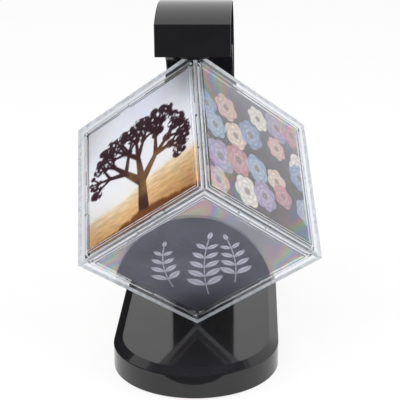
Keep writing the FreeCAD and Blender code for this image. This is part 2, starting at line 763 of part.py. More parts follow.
def coil_path(radius, height, turns):
    """A helix about the Z axis, each half turn of it two arcs that are tangent to each other and
    to the helix at its ends. They meet halfway between the ends of two equal steps, taken from
    the start and back from the end along the helix, that lie two steps apart."""
    slope = height / (turns * 2 * math.pi)

    def point(angle):
        return FreeCAD.Vector(radius * math.cos(angle), radius * math.sin(angle), slope * angle)

    def heading(angle):
        along = FreeCAD.Vector(-radius * math.sin(angle), radius * math.cos(angle), slope)
        return along.normalize()

    edges = []
    for half_turn in range(2 * turns):
        first, last = half_turn * math.pi, (half_turn + 1) * math.pi
        gap = point(last) - point(first)
        both = heading(first) + heading(last)
        spread = 4 - both.dot(both)
        pull = gap.dot(both)
        step = (math.sqrt(pull ** 2 + spread * gap.dot(gap)) - pull) / spread
        meeting = (point(first) + point(last) + (heading(first) - heading(last)) * step) * 0.5
        edges.append(arc_from(point(first), heading(first), meeting))
        edges.append(arc_from(point(last), heading(last) * -1, meeting))
    return Part.Wire(Part.__sortEdges__(edges)), point(0), heading(0)


def spring(label, at, low):
    """A wound wire spring between a contact and a cell's flat end."""
    height = value("spring_room - 2 * spring_wire_radius")
    path, start, heading = coil_path(size("spring_radius"), height, int(size("spring_turns")))
    wire = Part.Wire(Part.makeCircle(size("spring_wire_radius"), start, heading))
    item = code_shape(label, path.makePipeShell([wire], True, False))
    place(item, *at, f"{low} + spring_wire_radius")
    return item


def make_contacts():
    plate_y = (TRAY_FLOOR, f"{CELL_PLACE} + contact_half_width")
    bridge = block("bridge", across(f"{CELL_SPREAD} + contact_half_width"), plate_y,
                   (TRAY_LOW, f"{TRAY_LOW} + contact_thickness"))
    piece("contact_bridge", bridge)
    for label, side in (("contact_positive", "-"), ("contact_negative", "")):
        plate = block(label + " plate", across("contact_half_width", f"{side}{CELL_SPREAD}"),
                      plate_y, (f"{TRAY_HIGH} - contact_thickness", TRAY_HIGH))
        piece(label, fuse(label + " sheet", plate, tab_block(label + " tab", side, "tab_rise")))
    springs = (spring("left spring", (f"-{CELL_SPREAD}", CELL_PLACE),
                      f"{TRAY_LOW} + contact_thickness"),
               spring("right spring", (CELL_SPREAD, CELL_PLACE),
                      f"{TRAY_HIGH} - contact_thickness - spring_room"))
    piece("battery_springs", group("springs", *springs))


def make_door():
    half = f"({TRAY_SIDE} + door_margin - door_gap)"
    panel = block("door panel", across(half),
                  (f"{COLUMN_BACK} - door_thickness", COLUMN_BACK),
                  (DOOR_PIN[1], f"{DOOR_HIGH} - door_gap"))
    edge = rod("door edge", "door_thickness / 2", f"-{half}", half, DOOR_PIN, "x")
    pin_reach = f"({TRAY_SIDE} + door_margin + door_pin_length - door_gap)"
    pins = rod("door pins", "door_pin_radius", f"-{pin_reach}", pin_reach, DOOR_PIN, "x")
    grips = [rod(f"door grip {n}", "door_grip", f"-{half} / 2", f"{half} / 2",
                 (f"{COLUMN_BACK} + door_grip / 2", f"{DOOR_HIGH} - {2 * n + 3} * door_grip"), "x")
             for n in range(3)]
    piece("battery_door", cut("door", fuse("door blank", panel, edge, pins), *grips))


def make_switch():
    depth = (f"{COLUMN_INSIDE} - switch_depth", COLUMN_INSIDE)
    body = block("switch block", across("switch_half_width"), depth,
                 across("switch_half_height", SWITCH_HEIGHT))
    lugs = [block(f"switch lug {n}", across("tab_half_width", "-lead_spread"),
                  (f"{LEAD_PLACE} - contact_thickness / 2", depth[0]),
                  across("contact_thickness / 2", f"{SWITCH_HEIGHT} {sign} switch_half_height / 2"))
            for n, sign in enumerate("-+")]
    room = switch_slot("knob room", "knob_foot", "knob_foot / 2",
                       (f"{COLUMN_INSIDE} - 2 * knob_gap - knob_foot", COLUMN_INSIDE))
    piece("switch_body", cut("switch case", fuse("switch blank", body, *lugs), room))
    middle = "-switch_travel / 2"
    foot = block("knob foot", across("knob_half_width + knob_foot", middle),
                 (f"{COLUMN_INSIDE} - knob_gap - knob_foot", f"{COLUMN_INSIDE} - knob_gap"),
                 across("knob_half_height + knob_foot / 2", SWITCH_HEIGHT))
    stem = block("knob stem", across("knob_half_width", middle),
                 (f"{COLUMN_INSIDE} - knob_gap", f"{COLUMN_BACK} + knob_proud"),
                 across("knob_half_height", SWITCH_HEIGHT))
    piece("switch_knob", fuse("knob", foot, stem))


def lead(label, side, low):
    """A wire from a lug straight up the column, round the bend and on to the motor's lug."""
    at = (f"{side}lead_spread", LEAD_PLACE)
    straight = rod(label + " upright", "lead_radius", low, ARM_BEND, at)
    bend = add("Part::Torus", label + " bend")
    bind(bend, Radius1=f"{LEAD_PLACE} - {ARM_CENTRE}", Radius2="lead_radius", Angle3=LEAD_SWING)
    # turned so that the ring starts on the +Y side and climbs towards +Z
    bend.Placement.Rotation = FreeCAD.Rotation(FreeCAD.Vector(0, 1, 0), FreeCAD.Vector(0, 0, 1),
                                               FreeCAD.Vector(1, 0, 0), "XYZ")
    place(bend, at[0], ARM_CENTRE, ARM_BEND)
    return cut(label, fuse(label + " wire", straight, bend), motor_lug(label + " end", side))


def make_leads():
    piece("lead_negative", lead("negative lead", "", f"{TRAY_TOP} + tab_rise"))
    piece("lead_positive", lead("positive lead", "-",
                                f"{SWITCH_HEIGHT} + switch_half_height / 2 + contact_thickness / 2"))
    short = rod("short lead", "lead_radius", f"{TRAY_TOP} + tab_rise",
                f"{SWITCH_HEIGHT} - switch_half_height / 2 - contact_thickness / 2",
                ("-lead_spread", LEAD_PLACE))
    piece("switch_lead", short)


# ---- gearbox ------------------------------------------------------------------------------------

def gear_points(teeth, steps=4):
    """Outline of a spur gear with involute teeth, with the first gap on the X axis."""
    module = size("gear_module")
    pitch = module * teeth / 2
    base = pitch * math.cos(math.radians(size("pressure_angle")))
    root = pitch - module
    tip = pitch + size("tooth_rise")

    def half_tooth(radius):
        """Half the angle of a tooth at a radius."""
        def roll(distance):
            angle = math.acos(min(1.0, base / distance))
            return math.tan(angle) - angle
        thin = size("tooth_backlash") / (2 * pitch)
        return math.pi / (2 * teeth) - thin + roll(pitch) - roll(max(radius, base))

    start = max(base, root)
    radii = [root] if root < base else []
    radii += [start + (tip - start) * step / steps for step in range(steps + 1)]
    points = []
    for tooth in range(teeth):
        middle = (tooth + 0.5) * 2 * math.pi / teeth
        flank = [(radius, middle - half_tooth(radius)) for radius in radii]
        flank += [(radius, middle + half_tooth(radius)) for radius in reversed(radii)]
        points += [(r * math.cos(a), r * math.sin(a)) for r, a in flank]
    return points


def gear(label, teeth, low, at_y, gap_forwards):
    """A gear blank of one face width on the X = 0 plane; a gap or a tooth points along Y."""
    points = [FreeCAD.Vector(x, y, 0) for x, y in gear_points(teeth)]
    outline = Part.makePolygon(points + points[:1])
    item = code_shape(label, Part.Face(outline).extrude(FreeCAD.Vector(0, 0, size("gear_face"))))
    first_gap = 90 if gap_forwards else 90 + 180 / teeth
    turn(item, (0, 0, 1), first_gap)
    place(item, "0", at_y, low)
    return item


def wheel_rod(label, radius, low, high, at_y):
    return rod(label, radius, low, high, ("0", at_y))


def make_reduction_gear(label, layer, at_y):
    """A large gear with the pinion for the next layer above it, on one hub with a bore."""
    large = gear(label + " wheel", int(size("gear_teeth")), LAYER[layer], at_y, False)
    small = gear(label + " pinion", int(size("pinion_teeth")), LAYER[layer + 1], at_y, True)
    hub = wheel_rod(label + " hub", "hub_radius", f"{GEARBOX_DECK} + gear_layer_gap",
                    f"{TOP_PLATE_LOW} - gear_layer_gap", at_y)
    bore = wheel_rod(label + " bore", "axle_radius + running_gap", GEARBOX_DECK, TOP_PLATE_LOW,
                     at_y)
    piece(label, cut(label + " blank", fuse(label + " solid", large, small, hub), bore))


def axle_places():
    return [GEAR_REACH, f"(2 * {GEAR_REACH})"]


def make_gearbox_plates():
    front = f"-{PLATE_FRONT}"
    lower = block("lower plate", across(GEARBOX_HALF),
                  (front, f"{MOTOR_PLACE} + can_radius + motor_margin"),
                  (GEARBOX_LOW, GEARBOX_DECK))
    pillars = [rod(f"pillar {n}", "pillar_radius", GEARBOX_DECK, TOP_PLATE_LOW, at)
               for n, at in enumerate(box_screw_places())]
    cuts = [rod(f"pillar bore {n}", "box_screw_radius", GEARBOX_LOW, TOP_PLATE_LOW, at)
            for n, at in enumerate(box_screw_places())]
    cuts += [wheel_rod(f"axle hole {n}", "axle_radius", GEARBOX_LOW, GEARBOX_DECK, at_y)
             for n, at_y in enumerate(axle_places())]
    cuts.append(wheel_rod("motor hole", "can_radius", GEARBOX_LOW, GEARBOX_DECK, MOTOR_PLACE))
    cuts.append(rod("bush seat", "spindle_bush_radius", GEARBOX_LOW, GEARBOX_DECK))
    piece("gearbox_plate", cut("gearbox plate", fuse("gearbox blank", lower, *pillars), *cuts))
    upper = block("upper plate", across(GEARBOX_HALF), (front, TOP_PLATE_BACK),
                  (TOP_PLATE_LOW, TOP_PLATE_HIGH))
    cuts = [rod(f"upper screw hole {n}", "box_screw_radius", TOP_PLATE_LOW, TOP_PLATE_HIGH, at)
            for n, at in enumerate(box_screw_places())]
    cuts += [wheel_rod(f"upper axle hole {n}", "axle_radius", TOP_PLATE_LOW, TOP_PLATE_HIGH, at_y)
             for n, at_y in enumerate(axle_places())]
    cuts.append(rod("upper spindle hole", "spindle_radius + running_gap", TOP_PLATE_LOW,
                    TOP_PLATE_HIGH))
    piece("gearbox_top_plate", cut("gearbox top plate", upper, *cuts))
    axles = [wheel_rod(f"axle {n}", "axle_radius", GEARBOX_LOW, TOP_PLATE_HIGH, at_y)
             for n, at_y in enumerate(axle_places())]
    piece("gear_axles", group("axles", *axles))
    screws = []
    for n, at in enumerate(box_screw_places()):
        low = f"{GEARBOX_LOW} - box_screw_head"
        screws.append(fuse(f"box screw {n}",
                           rod(f"box screw head {n}", "box_screw_head_radius", low, GEARBOX_LOW,
                               at),
                           rod(f"box screw shank {n}", "box_screw_radius", low,
                               f"{low} + box_screw_length", at)))
    piece("gearbox_screws", group("box screws", *screws))


def make_spindle():
    flange_top = f"({GEARBOX_DECK} + spindle_flange)"
    bush = fuse("spindle bush blank",
                rod("spindle bush stem", "spindle_bush_radius", GEARBOX_LOW, GEARBOX_DECK),
                rod("spindle bush flange", "spindle_flange_radius", GEARBOX_DECK, flange_top))
    bore = rod("spindle bush bore", "spindle_radius + running_gap", GEARBOX_LOW, flange_top)
    piece("spindle_bush", cut("spindle bush", bush, bore))
    piece("spindle_shaft", rod("spindle", "spindle_radius",
                               f"{GEARBOX_LOW} - cup_top_gap - spindle_socket",
                               f"{TOP_PLATE_HIGH} - running_gap"))
    gear_blank = fuse("spindle gear solid",
                      gear("spindle wheel", int(size("gear_teeth")), LAYER[2], "0", False),
                      rod("spindle hub", "spindle_radius + hub_wall", LAYER[1], LAYER[2]))
    gear_bore = rod("spindle gear bore", "spindle_radius", LAYER[1], LAYER_TOP[2])
    piece("spindle_gear", cut("spindle gear", gear_blank, gear_bore))
    ring_low = f"({flange_top} + running_gap)"
    ring_high = f"({ring_low} + clip_ring_height)"
    ring = rod("clip disc", "clip_ring_radius", ring_low, ring_high)
    hole = rod("clip hole", "spindle_radius", ring_low, ring_high)
    mouth = block("clip mouth", across("clip_mouth"), ("0", "clip_ring_radius"),
                  (ring_low, ring_high))
    piece("spindle_clip", cut("spindle clip", ring, hole, mouth))


def make_drive_cup():
    low = f"({CUBE_TOP} - cup_grip)"
    high = f"({GEARBOX_LOW} - cup_top_gap)"
    edge = "(cube_edge + 2 * cup_fit)"
    corner = add("Part::Box", "cube room")
    bind(corner, Length=edge, Width=edge, Height=edge)
    corner.Placement.Rotation = cube_rotation()
    place(corner, "0", "0", f"{CUBE_MIDDLE} - {edge} / 2 * sqrt(3)")
    bore = rod("cup bore", "spindle_radius", f"{high} - spindle_socket", high)
    piece("drive_cup", cut("cup", rod("cup blank", "cup_radius", low, high), corner, bore))


# ---- motor --------------------------------------------------------------------------------------

def motor_lug(label, side):
    return block(label, across("tab_half_width", f"{side}lead_spread"), (MOTOR_PLACE, LUG_END),
                 across("contact_thickness / 2", LUG_HEIGHT))


def make_motor():
    inner = "(can_radius - can_wall)"
    shaft_hole = "motor_shaft_radius + running_gap"
    can = wheel_rod("can blank", "can_radius", CAN_LOW, CAN_TOP, MOTOR_PLACE)
    room = wheel_rod("can room", inner, CAN_LOW, f"{CAN_TOP} - can_wall", MOTOR_PLACE)
    hole = wheel_rod("can hole", shaft_hole, CAN_LOW, CAN_TOP, MOTOR_PLACE)
    piece("motor_can", cut("can", can, room, hole))
    cap_top = f"({CAN_LOW} + end_cap)"
    cap = wheel_rod("cap disc", inner, CAN_LOW, cap_top, MOTOR_PLACE)
    pad_block = block("cap pad", across("lead_spread + tab_half_width"),
                      (MOTOR_PLACE, f"{MOTOR_PLACE} + can_radius / 2"),
                      (f"{LUG_HEIGHT} + contact_thickness / 2", CAN_LOW))
    lugs = [motor_lug(f"motor lug {n}", side) for n, side in enumerate(("", "-"))]
    cap_hole = wheel_rod("cap hole", shaft_hole, f"{LUG_HEIGHT} - lug_drop", cap_top, MOTOR_PLACE)
    piece("motor_end_cap", cut("cap", fuse("cap blank", cap, pad_block, *lugs), cap_hole))
    high = f"({CAN_TOP} - can_wall)"
    magnet_inner = f"({inner} - magnet_thickness)"
    ring = wheel_rod("magnet ring", inner, cap_top, high, MOTOR_PLACE)
    ring_room = wheel_rod("magnet room", magnet_inner, cap_top, high, MOTOR_PLACE)
    split = block("magnet split", across("magnet_split / 2"),
                  across("can_radius", MOTOR_PLACE), (cap_top, high))
    piece("motor_magnets", cut("magnets", ring, ring_room, split))
    make_armature(f"({magnet_inner} - armature_gap)", f"({cap_top} + end_play)",
                  f"({high} - end_play)")
    pinion_top = f"({LAYER_TOP[0]} + gear_layer_gap)"
    piece("motor_shaft", wheel_rod("shaft", "motor_shaft_radius", CAN_LOW, pinion_top,
                                   MOTOR_PLACE))
    pinion = gear("pinion wheel", int(size("pinion_teeth")), LAYER[0], MOTOR_PLACE, True)
    pinion_bore = wheel_rod("pinion bore", "motor_shaft_radius", LAYER[0], LAYER_TOP[0],
                            MOTOR_PLACE)
    piece("motor_pinion", cut("pinion", pinion, pinion_bore))


def make_armature(radius, low, high):
    """The iron stack on the motor's shaft, with three slots for its windings."""
    stack = wheel_rod("armature stack", radius, low, high, MOTOR_PLACE)
    cuts = [wheel_rod("armature bore", "motor_shaft_radius", low, high, MOTOR_PLACE)]
    for n in range(3):
        angle = f"(360 / 3 * {n})"
        cuts.append(rod(f"armature slot {n}", "armature_slot_radius", low, high,
                        (f"{radius} * sin({angle})", f"{MOTOR_PLACE} + {radius} * cos({angle})")))
    piece("motor_armature", cut("armature", stack, *cuts))


# ---- cube ---------------------------------------------------------------------------------------

def cube_rotation():
    """Stands the cube on a corner: its edge directions 1, 2 and 3 lean out evenly."""
    columns = []
    for bearing in (60, 180, 300):
        angle = math.radians(bearing + size("cube_turn"))
        side = math.sqrt(2 / 3)
        columns.append((side * math.sin(angle), -side * math.cos(angle), 1 / math.sqrt(3)))
    return FreeCAD.Rotation(*(FreeCAD.Vector(*column) for column in columns), "XYZ")


def edge_direction(number):
    axes = ((1, 0, 0), (0, 1, 0), (0, 0, 1))
    sign = 1 if number > 0 else -1
    return FreeCAD.Vector(*axes[abs(number) - 1]) * sign


def face_rotation(normal, up):
    """Turns a part drawn on the cube's top face, with its upper side towards +Y, to a face."""
    z_axis = edge_direction(normal)
    y_axis = edge_direction(up)
    turn_to_face = FreeCAD.Rotation(y_axis.cross(z_axis), y_axis, z_axis, "XYZ")
    return cube_rotation() * turn_to_face


def plate_with_mitres(label, half, low, high):
    """A square plate whose four sides slope at 45 degrees to its corners' diagonals."""
    item = add("Part::Wedge", label)
    inner = f"({half} - ({high} - {low}))"
    bind(item, Xmin=f"-{inner}", Xmax=inner, Zmin=f"-{inner}", Zmax=inner, Ymin=low, Ymax=high,
         X2min=f"-({half})", X2max=half, Z2min=f"-({half})", Z2max=half)
    turn(item, (1, 0, 0), 90)
    return item


def on_face(label, part, normal, up):
    """A copy of a part on one face of the cube."""
    item = turned_copy(label, part, face_rotation(normal, up))
    place(item, "0", "0", CUBE_MIDDLE)
    return item


PRINT_HALF = "(cube_edge / 2 - margin)"
PRINT_TOP = "(cube_edge / 2 - print_depth)"
PAD_TOP = "(cube_edge / 2 - print_depth - print_thickness)"
WINDOW_LOW = "(cube_edge / 2 - window_thickness)"


def make_window():
    """A clear cover. The rib round its underside presses on the print's rim, and four spring
    clips that go on from the rib grip the core's pad."""
    window = plate_with_mitres("window", "(cube_edge / 2 - seam)", WINDOW_LOW, "cube_edge / 2")
    near = f"({PRINT_HALF} + clip_gap)"
    far = f"({near} + clip_thickness)"
    low = f"({PAD_TOP} - clip_thickness - clip_gap)"
    along = ("clip_offset", "clip_offset + clip_length")
    rib_height = (PRINT_TOP, WINDOW_LOW)
    rib_room = across(f"{PRINT_HALF} - clip_lip")
    rib = cut("rib", block("rib blank", across(far), across(far), rib_height),
              block("rib room", rib_room, rib_room, rib_height))
    clip = block("clip", (near, far), along, (low, WINDOW_LOW))
    clips = [turned_copy(f"clip {quarter}", clip,
                         FreeCAD.Rotation(FreeCAD.Vector(0, 0, 1), 90 * quarter))
             for quarter in range(4)]
    return fuse("clipped window", window, rib, *clips)


def make_cube():
    window = make_window()
    photo = block("photo", across(PRINT_HALF), across(PRINT_HALF), (PAD_TOP, PRINT_TOP))
    wall = plate_with_mitres("core wall", PRINT_HALF, f"({PRINT_HALF} - core_wall)", PRINT_HALF)
    core_pad = block("core pad", across(PRINT_HALF), across(PRINT_HALF), (PRINT_HALF, PAD_TOP))
    core_side = fuse("core side", wall, core_pad)
    halves = {"core_upper": [], "core_lower": []}
    for name, normal, up in FACES:
        piece(f"cover_{name}", on_face(f"{name} cover", window, normal, up))
        piece(f"print_{name}", on_face(f"{name} print", photo, normal, up))
        half = "core_upper" if normal > 0 else "core_lower"
        halves[half].append(on_face(f"{name} core side", core_side, normal, up))
    for name, sides in halves.items():
        piece(name, fuse(name + " walls", *sides))


def write_parts():
    document.recompute()
    for item in document.Objects:
        if "Invalid" in item.State or "Error" in item.State:
            raise ValueError(f"{item.Label}: {item.State}")
    for item in pieces:
        if item.Shape.isNull() or not item.Shape.isValid():
            raise ValueError(item.Label + " has no valid shape")
    os.makedirs("parts", exist_ok=True)
    for item in pieces:
        item.Shape.exportStep(f"parts/{item.Label}.step")


fill_sheet()
ARM_CORE = make_arm_core()
make_base_shell()
make_bottom_plate()
make_base_fixings()
make_pivot_bush()
make_arm_shell()
make_arm_inner_cover()
make_arm_screws()
make_cells()
make_contacts()
make_door()
make_switch()
make_leads()
make_gearbox_plates()
make_spindle()
make_drive_cup()
make_reduction_gear("reduction_gear_2", 1, GEAR_REACH)
make_reduction_gear("reduction_gear_1", 0, f"(2 * {GEAR_REACH})")
make_motor()
make_cube()
write_parts()
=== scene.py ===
import json
import math

import bmesh
import bpy
import numpy as np
from mathutils import Matrix, Vector


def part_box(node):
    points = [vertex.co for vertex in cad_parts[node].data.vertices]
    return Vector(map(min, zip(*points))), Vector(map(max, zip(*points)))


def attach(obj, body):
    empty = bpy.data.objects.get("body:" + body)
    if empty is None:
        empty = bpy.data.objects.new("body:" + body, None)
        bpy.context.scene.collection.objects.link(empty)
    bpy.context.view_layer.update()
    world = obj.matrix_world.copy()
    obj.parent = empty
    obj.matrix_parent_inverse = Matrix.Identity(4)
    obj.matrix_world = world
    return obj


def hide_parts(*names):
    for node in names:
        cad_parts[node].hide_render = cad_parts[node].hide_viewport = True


# Rotating photo cube: a clear cube with six prints, standing on one corner of a glossy black base
# under the head of an arched arm. Metres, +Z up, the cube's turning axis on the Z axis. The viewer
# stands on the -Y side.

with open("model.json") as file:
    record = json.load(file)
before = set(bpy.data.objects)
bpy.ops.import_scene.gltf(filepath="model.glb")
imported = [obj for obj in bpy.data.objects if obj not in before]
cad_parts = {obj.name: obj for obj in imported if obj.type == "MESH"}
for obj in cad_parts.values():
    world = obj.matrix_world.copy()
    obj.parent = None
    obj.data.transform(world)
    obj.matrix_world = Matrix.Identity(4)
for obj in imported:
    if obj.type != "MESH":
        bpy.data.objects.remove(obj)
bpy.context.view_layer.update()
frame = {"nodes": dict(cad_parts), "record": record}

MM = 0.001

# The camera, fitted to the corners of the cube, the base and the head in the photograph.
CAMERA_AZIMUTH = math.radians(2.505)
CAMERA_ELEVATION = math.radians(18.967)
CAMERA_ROLL = math.radians(-0.477)
CAMERA_DISTANCE = 652.9 * MM
CAMERA_TARGET = Vector((2.1, 0.0, 87.08)) * MM
SENSOR_WIDTH = 36.0
FOCAL_LENGTH = 111.34
CAMERA_CLIP = (0.05, 20.0)

# The cube and its prints.
CUBE_EDGE = 88.0 * MM
CUBE_TURN = math.radians(6.0)
PRINT_EDGE = 76.0 * MM
PRINT_TOP = CUBE_EDGE / 2 - 4.0 * MM
PAPER_THICKNESS = 0.4 * MM
PAPER_BOW = 0.08 * MM
PRINT_CELLS = 190

# The clear covers: how far each outer edge's rounding reaches, and the tests that find the edge
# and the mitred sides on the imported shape.
EDGE_ROUND = 0.6 * MM
EDGE_STEPS = 6
NEAR = 0.02 * MM
FLAT_ANGLE = math.radians(0.5)
MITRE_LEAN = -math.sqrt(0.5)
LEAN_MARGIN = 0.01

# The rainbow tints that stress leaves in the clear covers: how much the melt's flow bends them, how
# often they repeat, their greatest share of the surface, the |x| x |y| over which they grow to it,
# and where they fade towards the rims.
TINT_BEND = 2.6
TINT_REPEATS = 2.2
TINT_SHARE = 0.14
TINT_REACH = (0.08, 0.6)
TINT_FADE = (0.82, 0.9)

# How strongly each plastic bends light, as its refractive index.
STYRENE_INDEX = 1.59
OPAQUE_INDEX = 1.5
RESIN_COAT_INDEX = 1.45

# Name of each face, its outward normal and the upward direction of its print, as edge directions
# of the cube: 1, 2 and 3 point from the lower corner's side to the upper corner's side, and a
# minus sign turns one round.
FACES = {
    "front_right": (1, 2),
    "back": (2, 3),
    "front_left": (3, 2),
    "lower_right": (-3, 2),
    "lower_front": (-2, 3),
    "lower_left": (-1, 2),
}


# ---- the cube's own directions ------------------------------------------------------------------

def edge_directions():
    """The three edges that rise from the lower corner: 120 degrees apart in plan, each leaning
    out so that its sideways part is the root of 2/3 and its upward part the root of 1/3."""
    bearings = np.radians([60.0, 180.0, 300.0]) + CUBE_TURN
    sideways = math.sqrt(2 / 3)
    return np.stack([sideways * np.sin(bearings), -sideways * np.cos(bearings),
                     np.full(3, math.sqrt(1 / 3))], axis=1)


def face_axes(normal, up):
    """Right, up and outward directions of a face, from its signed edge numbers."""
    edges = edge_directions()
    outward = edges[abs(normal) - 1] * np.sign(normal)
    upward = edges[abs(up) - 1] * np.sign(up)
    return np.cross(upward, outward), upward, outward


def cube_middle():
    """Halfway between the lowest and highest points of the covers, on the turning axis."""
    boxes = [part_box("cover_" + name) for name in FACES]
    low = min(box[0][2] for box in boxes)
    high = max(box[1][2] for box in boxes)
    return np.array([0.0, 0.0, (low + high) / 2])


# ---- meshes -------------------------------------------------------------------------------------

def in_scene(name, data):
    """A new object in the scene, at the origin, that shows this mesh, lamp or camera."""
    made = bpy.data.objects.new(name, data)
    bpy.context.scene.collection.objects.link(made)
    return made


def mesh_object(name, points, faces, material):
    """A piece from its points, its faces as lists of point numbers, and its material."""
    mesh = bpy.data.meshes.new(name)
    mesh.from_pydata(points.reshape(-1, 3).tolist(), [], faces)
    mesh.materials.append(material)
    return in_scene(name, mesh)


def grid_faces(rows, columns):
    """Quads of a grid whose points are numbered row by row."""
    first = (np.arange(rows - 1)[:, None] * columns + np.arange(columns - 1)).ravel()
    return np.stack([first, first + 1, first + columns + 1, first + columns], axis=1)


def print_sheet(name, axes, middle, painting, material):
    """A square sheet of paper. Its top is a grid over u and v from -1 to 1 that bows by
    (1 - u^4)(1 - v^4) between its rims, and a skirt and one flat face below close it."""
    count = PRINT_CELLS + 1
    steps = np.linspace(-1.0, 1.0, count)
    u, v = np.meshgrid(steps, steps)
    bow = PAPER_BOW * (1 - u ** 4) * (1 - v ** 4)
    right, upward, outward = axes
    half = PRINT_EDGE / 2
    top = (middle + half * (u[..., None] * right + v[..., None] * upward)
           + (PRINT_TOP + bow)[..., None] * outward).reshape(-1, 3)
    number = np.arange(count * count).reshape(count, count)
    rim = np.concatenate([number[0, :-1], number[:-1, -1], number[-1, :0:-1], number[:0:-1, 0]])
    bottom = top[rim] - PAPER_THICKNESS * outward
    ring = count * count + np.arange(len(rim))
    skirt = np.stack([rim, ring, np.roll(ring, -1), np.roll(rim, -1)], axis=1)
    faces = grid_faces(count, count).tolist() + skirt.tolist() + [ring[::-1].tolist()]
    piece = mesh_object(name, np.concatenate([top, bottom]), faces, material)
    colours = np.ones((len(top) + len(bottom), 4), np.float32)
    colours[:len(top), :3] = to_linear(np.clip(painting(u, v), 0, 1)).reshape(-1, 3)
    layer = piece.data.color_attributes.new("picture", "FLOAT_COLOR", "POINT")
    layer.data.foreach_set("color", colours.ravel())
    return piece


def rounded_cover(name, axes, middle, materials):
    """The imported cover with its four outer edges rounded, its mitred sides in a frosted finish
    and a map of the plate from -1 to 1 each way. Its faces are flat, so glass bends light truly."""
    right, upward, outward = (Vector(axis) for axis in axes)
    shape = bmesh.new()
    shape.from_mesh(frame["nodes"]["cover_" + name].data)
    bmesh.ops.remove_doubles(shape, verts=shape.verts, dist=NEAR / 10)
    bmesh.ops.dissolve_limit(shape, angle_limit=FLAT_ANGLE, verts=shape.verts, edges=shape.edges)
    centre = Vector(middle)
    rim = [edge for edge in shape.edges
           if all(abs((vert.co - centre) @ outward - CUBE_EDGE / 2) < NEAR for vert in edge.verts)]
    bmesh.ops.bevel(shape, geom=rim, offset=EDGE_ROUND, segments=EDGE_STEPS, profile=0.5,
                    affect="EDGES")
    shape.normal_update()
    plate_map = shape.loops.layers.uv.new("plate")
    for face in shape.faces:
        face.smooth = False
        face.material_index = int(abs(face.normal @ outward - MITRE_LEAN) < LEAN_MARGIN)
        for loop in face.loops:
            arm = (loop.vert.co - centre) / (CUBE_EDGE / 2)
            loop[plate_map].uv = (arm @ right, arm @ upward)
    mesh = bpy.data.meshes.new("clear_cover_" + name)
    shape.to_mesh(mesh)
    shape.free()
    for material in materials:
        mesh.materials.append(material)
    return in_scene("clear_cover_" + name, mesh)


# ---- colours ------------------------------------------------------------------------------------

def to_linear(colour):
    """sRGB parts from 0 to 1 as linear light."""
    colour = np.asarray(colour, float)
    return np.where(colour <= 0.04045, colour / 12.92, ((colour + 0.055) / 1.055) ** 2.4)


def srgb(code):
    """The three parts of a hex colour, from 0 to 1."""
    return np.array([int(code[place:place + 2], 16) for place in (1, 3, 5)]) / 255


def paint(code):
    """A hex colour as the linear RGBA that a shader takes."""
    return (*to_linear(srgb(code)), 1.0)


# ---- pictures: formulas that give a colour for each point of a print, u right and v up ----------

def smooth(low, high, amount):
    """0 up to low, 1 from high on, and between them the smooth step t^2 (3 - 2t)."""
    part = np.clip((amount - low) / (high - low), 0, 1)
    return part * part * (3 - 2 * part)


def blend(under, over, share):
    """Lays one colour over another by a share from 0 to 1."""
    return under + (over - under) * np.clip(share, 0, 1)[..., None]


def ramp(amount, stops):
    """Colour along a list of (place, hex colour)."""
    places, codes = zip(*stops)
    colours = np.array([srgb(code) for code in codes])
    return np.stack([np.interp(amount, places, colours[:, part]) for part in range(3)], axis=-1)


def cloud(u, v, size, seed):
    """Smooth noise from 0 to 1: random values on a lattice of that size, blended between its
    points with the smooth step, in three octaves."""
    table = np.random.default_rng(seed).random((64, 64))
    total, weight = 0.0, 0.0
    for octave in range(3):
        x, y = (np.asarray(part) / size * 2 ** octave + 31.7 for part in (u, v))
        column, row = np.floor(x).astype(int), np.floor(y).astype(int)
        across, along = smooth(0, 1, x - column), smooth(0, 1, y - row)
        corner = [[table[(row + j) % 64, (column + i) % 64] for i in (0, 1)] for j in (0, 1)]
        low = corner[0][0] + (corner[0][1] - corner[0][0]) * across
        high = corner[1][0] + (corner[1][1] - corner[1][0]) * across
        total = total + (low + (high - low) * along) / 2 ** octave
        weight += 1 / 2 ** octave
    return total / weight


# The tree: where its trunk starts, heads and ends, half-widths of the trunk and of the thickest
# limb with leaves, and the angles and shares by which each limb passes into three.
TRUNK_FOOT = (0.04, -1.04)
TRUNK_HEADING = math.pi / 2 + 0.02
TRUNK_LENGTH, TRUNK_WIDTH = 0.66, 0.11
TWIG_WIDTH = 0.05
FORKS = (-0.72, -0.05, 0.66)
FORK_SPREAD = 0.16
LIMB_SHORTENING = (0.58, 0.78)
LIMB_THINNING = 0.62


def limbs(generations, seed):
    """A tree's limbs as rows of start, end and half-width: each limb carries three shorter ones
    that fork from its end by seeded angles."""
    chance = np.random.default_rng(seed)
    start = np.array([TRUNK_FOOT])
    heading, length, width = (np.array([part])
                              for part in (TRUNK_HEADING, TRUNK_LENGTH, TRUNK_WIDTH))
    rows = []
    for _ in range(generations):
        end = start + length[:, None] * np.stack([np.cos(heading), np.sin(heading)], axis=1)
        rows.append(np.column_stack([start, end, width]))
        start, heading, length, width = (np.repeat(part, len(FORKS), axis=0)
                                         for part in (end, heading, length, width))
        turns = np.tile(FORKS, len(end)) + chance.normal(0, FORK_SPREAD, len(start))
        heading = heading + turns
        length = length * chance.uniform(*LIMB_SHORTENING, len(start))
        width = width * LIMB_THINNING
    return np.concatenate(rows)


def cover_of_limbs(u, v, rows):
    """How far each point lies inside the nearest tapering limb, as 0 to 1 with a soft rim."""
    depth = np.full(u.shape, -1.0)
    for x0, y0, x1, y1, width in rows:
        run = np.array([x1 - x0, y1 - y0])
        along = np.clip(((u - x0) * run[0] + (v - y0) * run[1]) / (run @ run), 0, 1)
        away = np.hypot(u - x0 - along * run[0], v - y0 - along * run[1])
        depth = np.maximum(depth, width * (1 - 0.38 * along) - away)
    return smooth(-0.006, 0.006, depth)


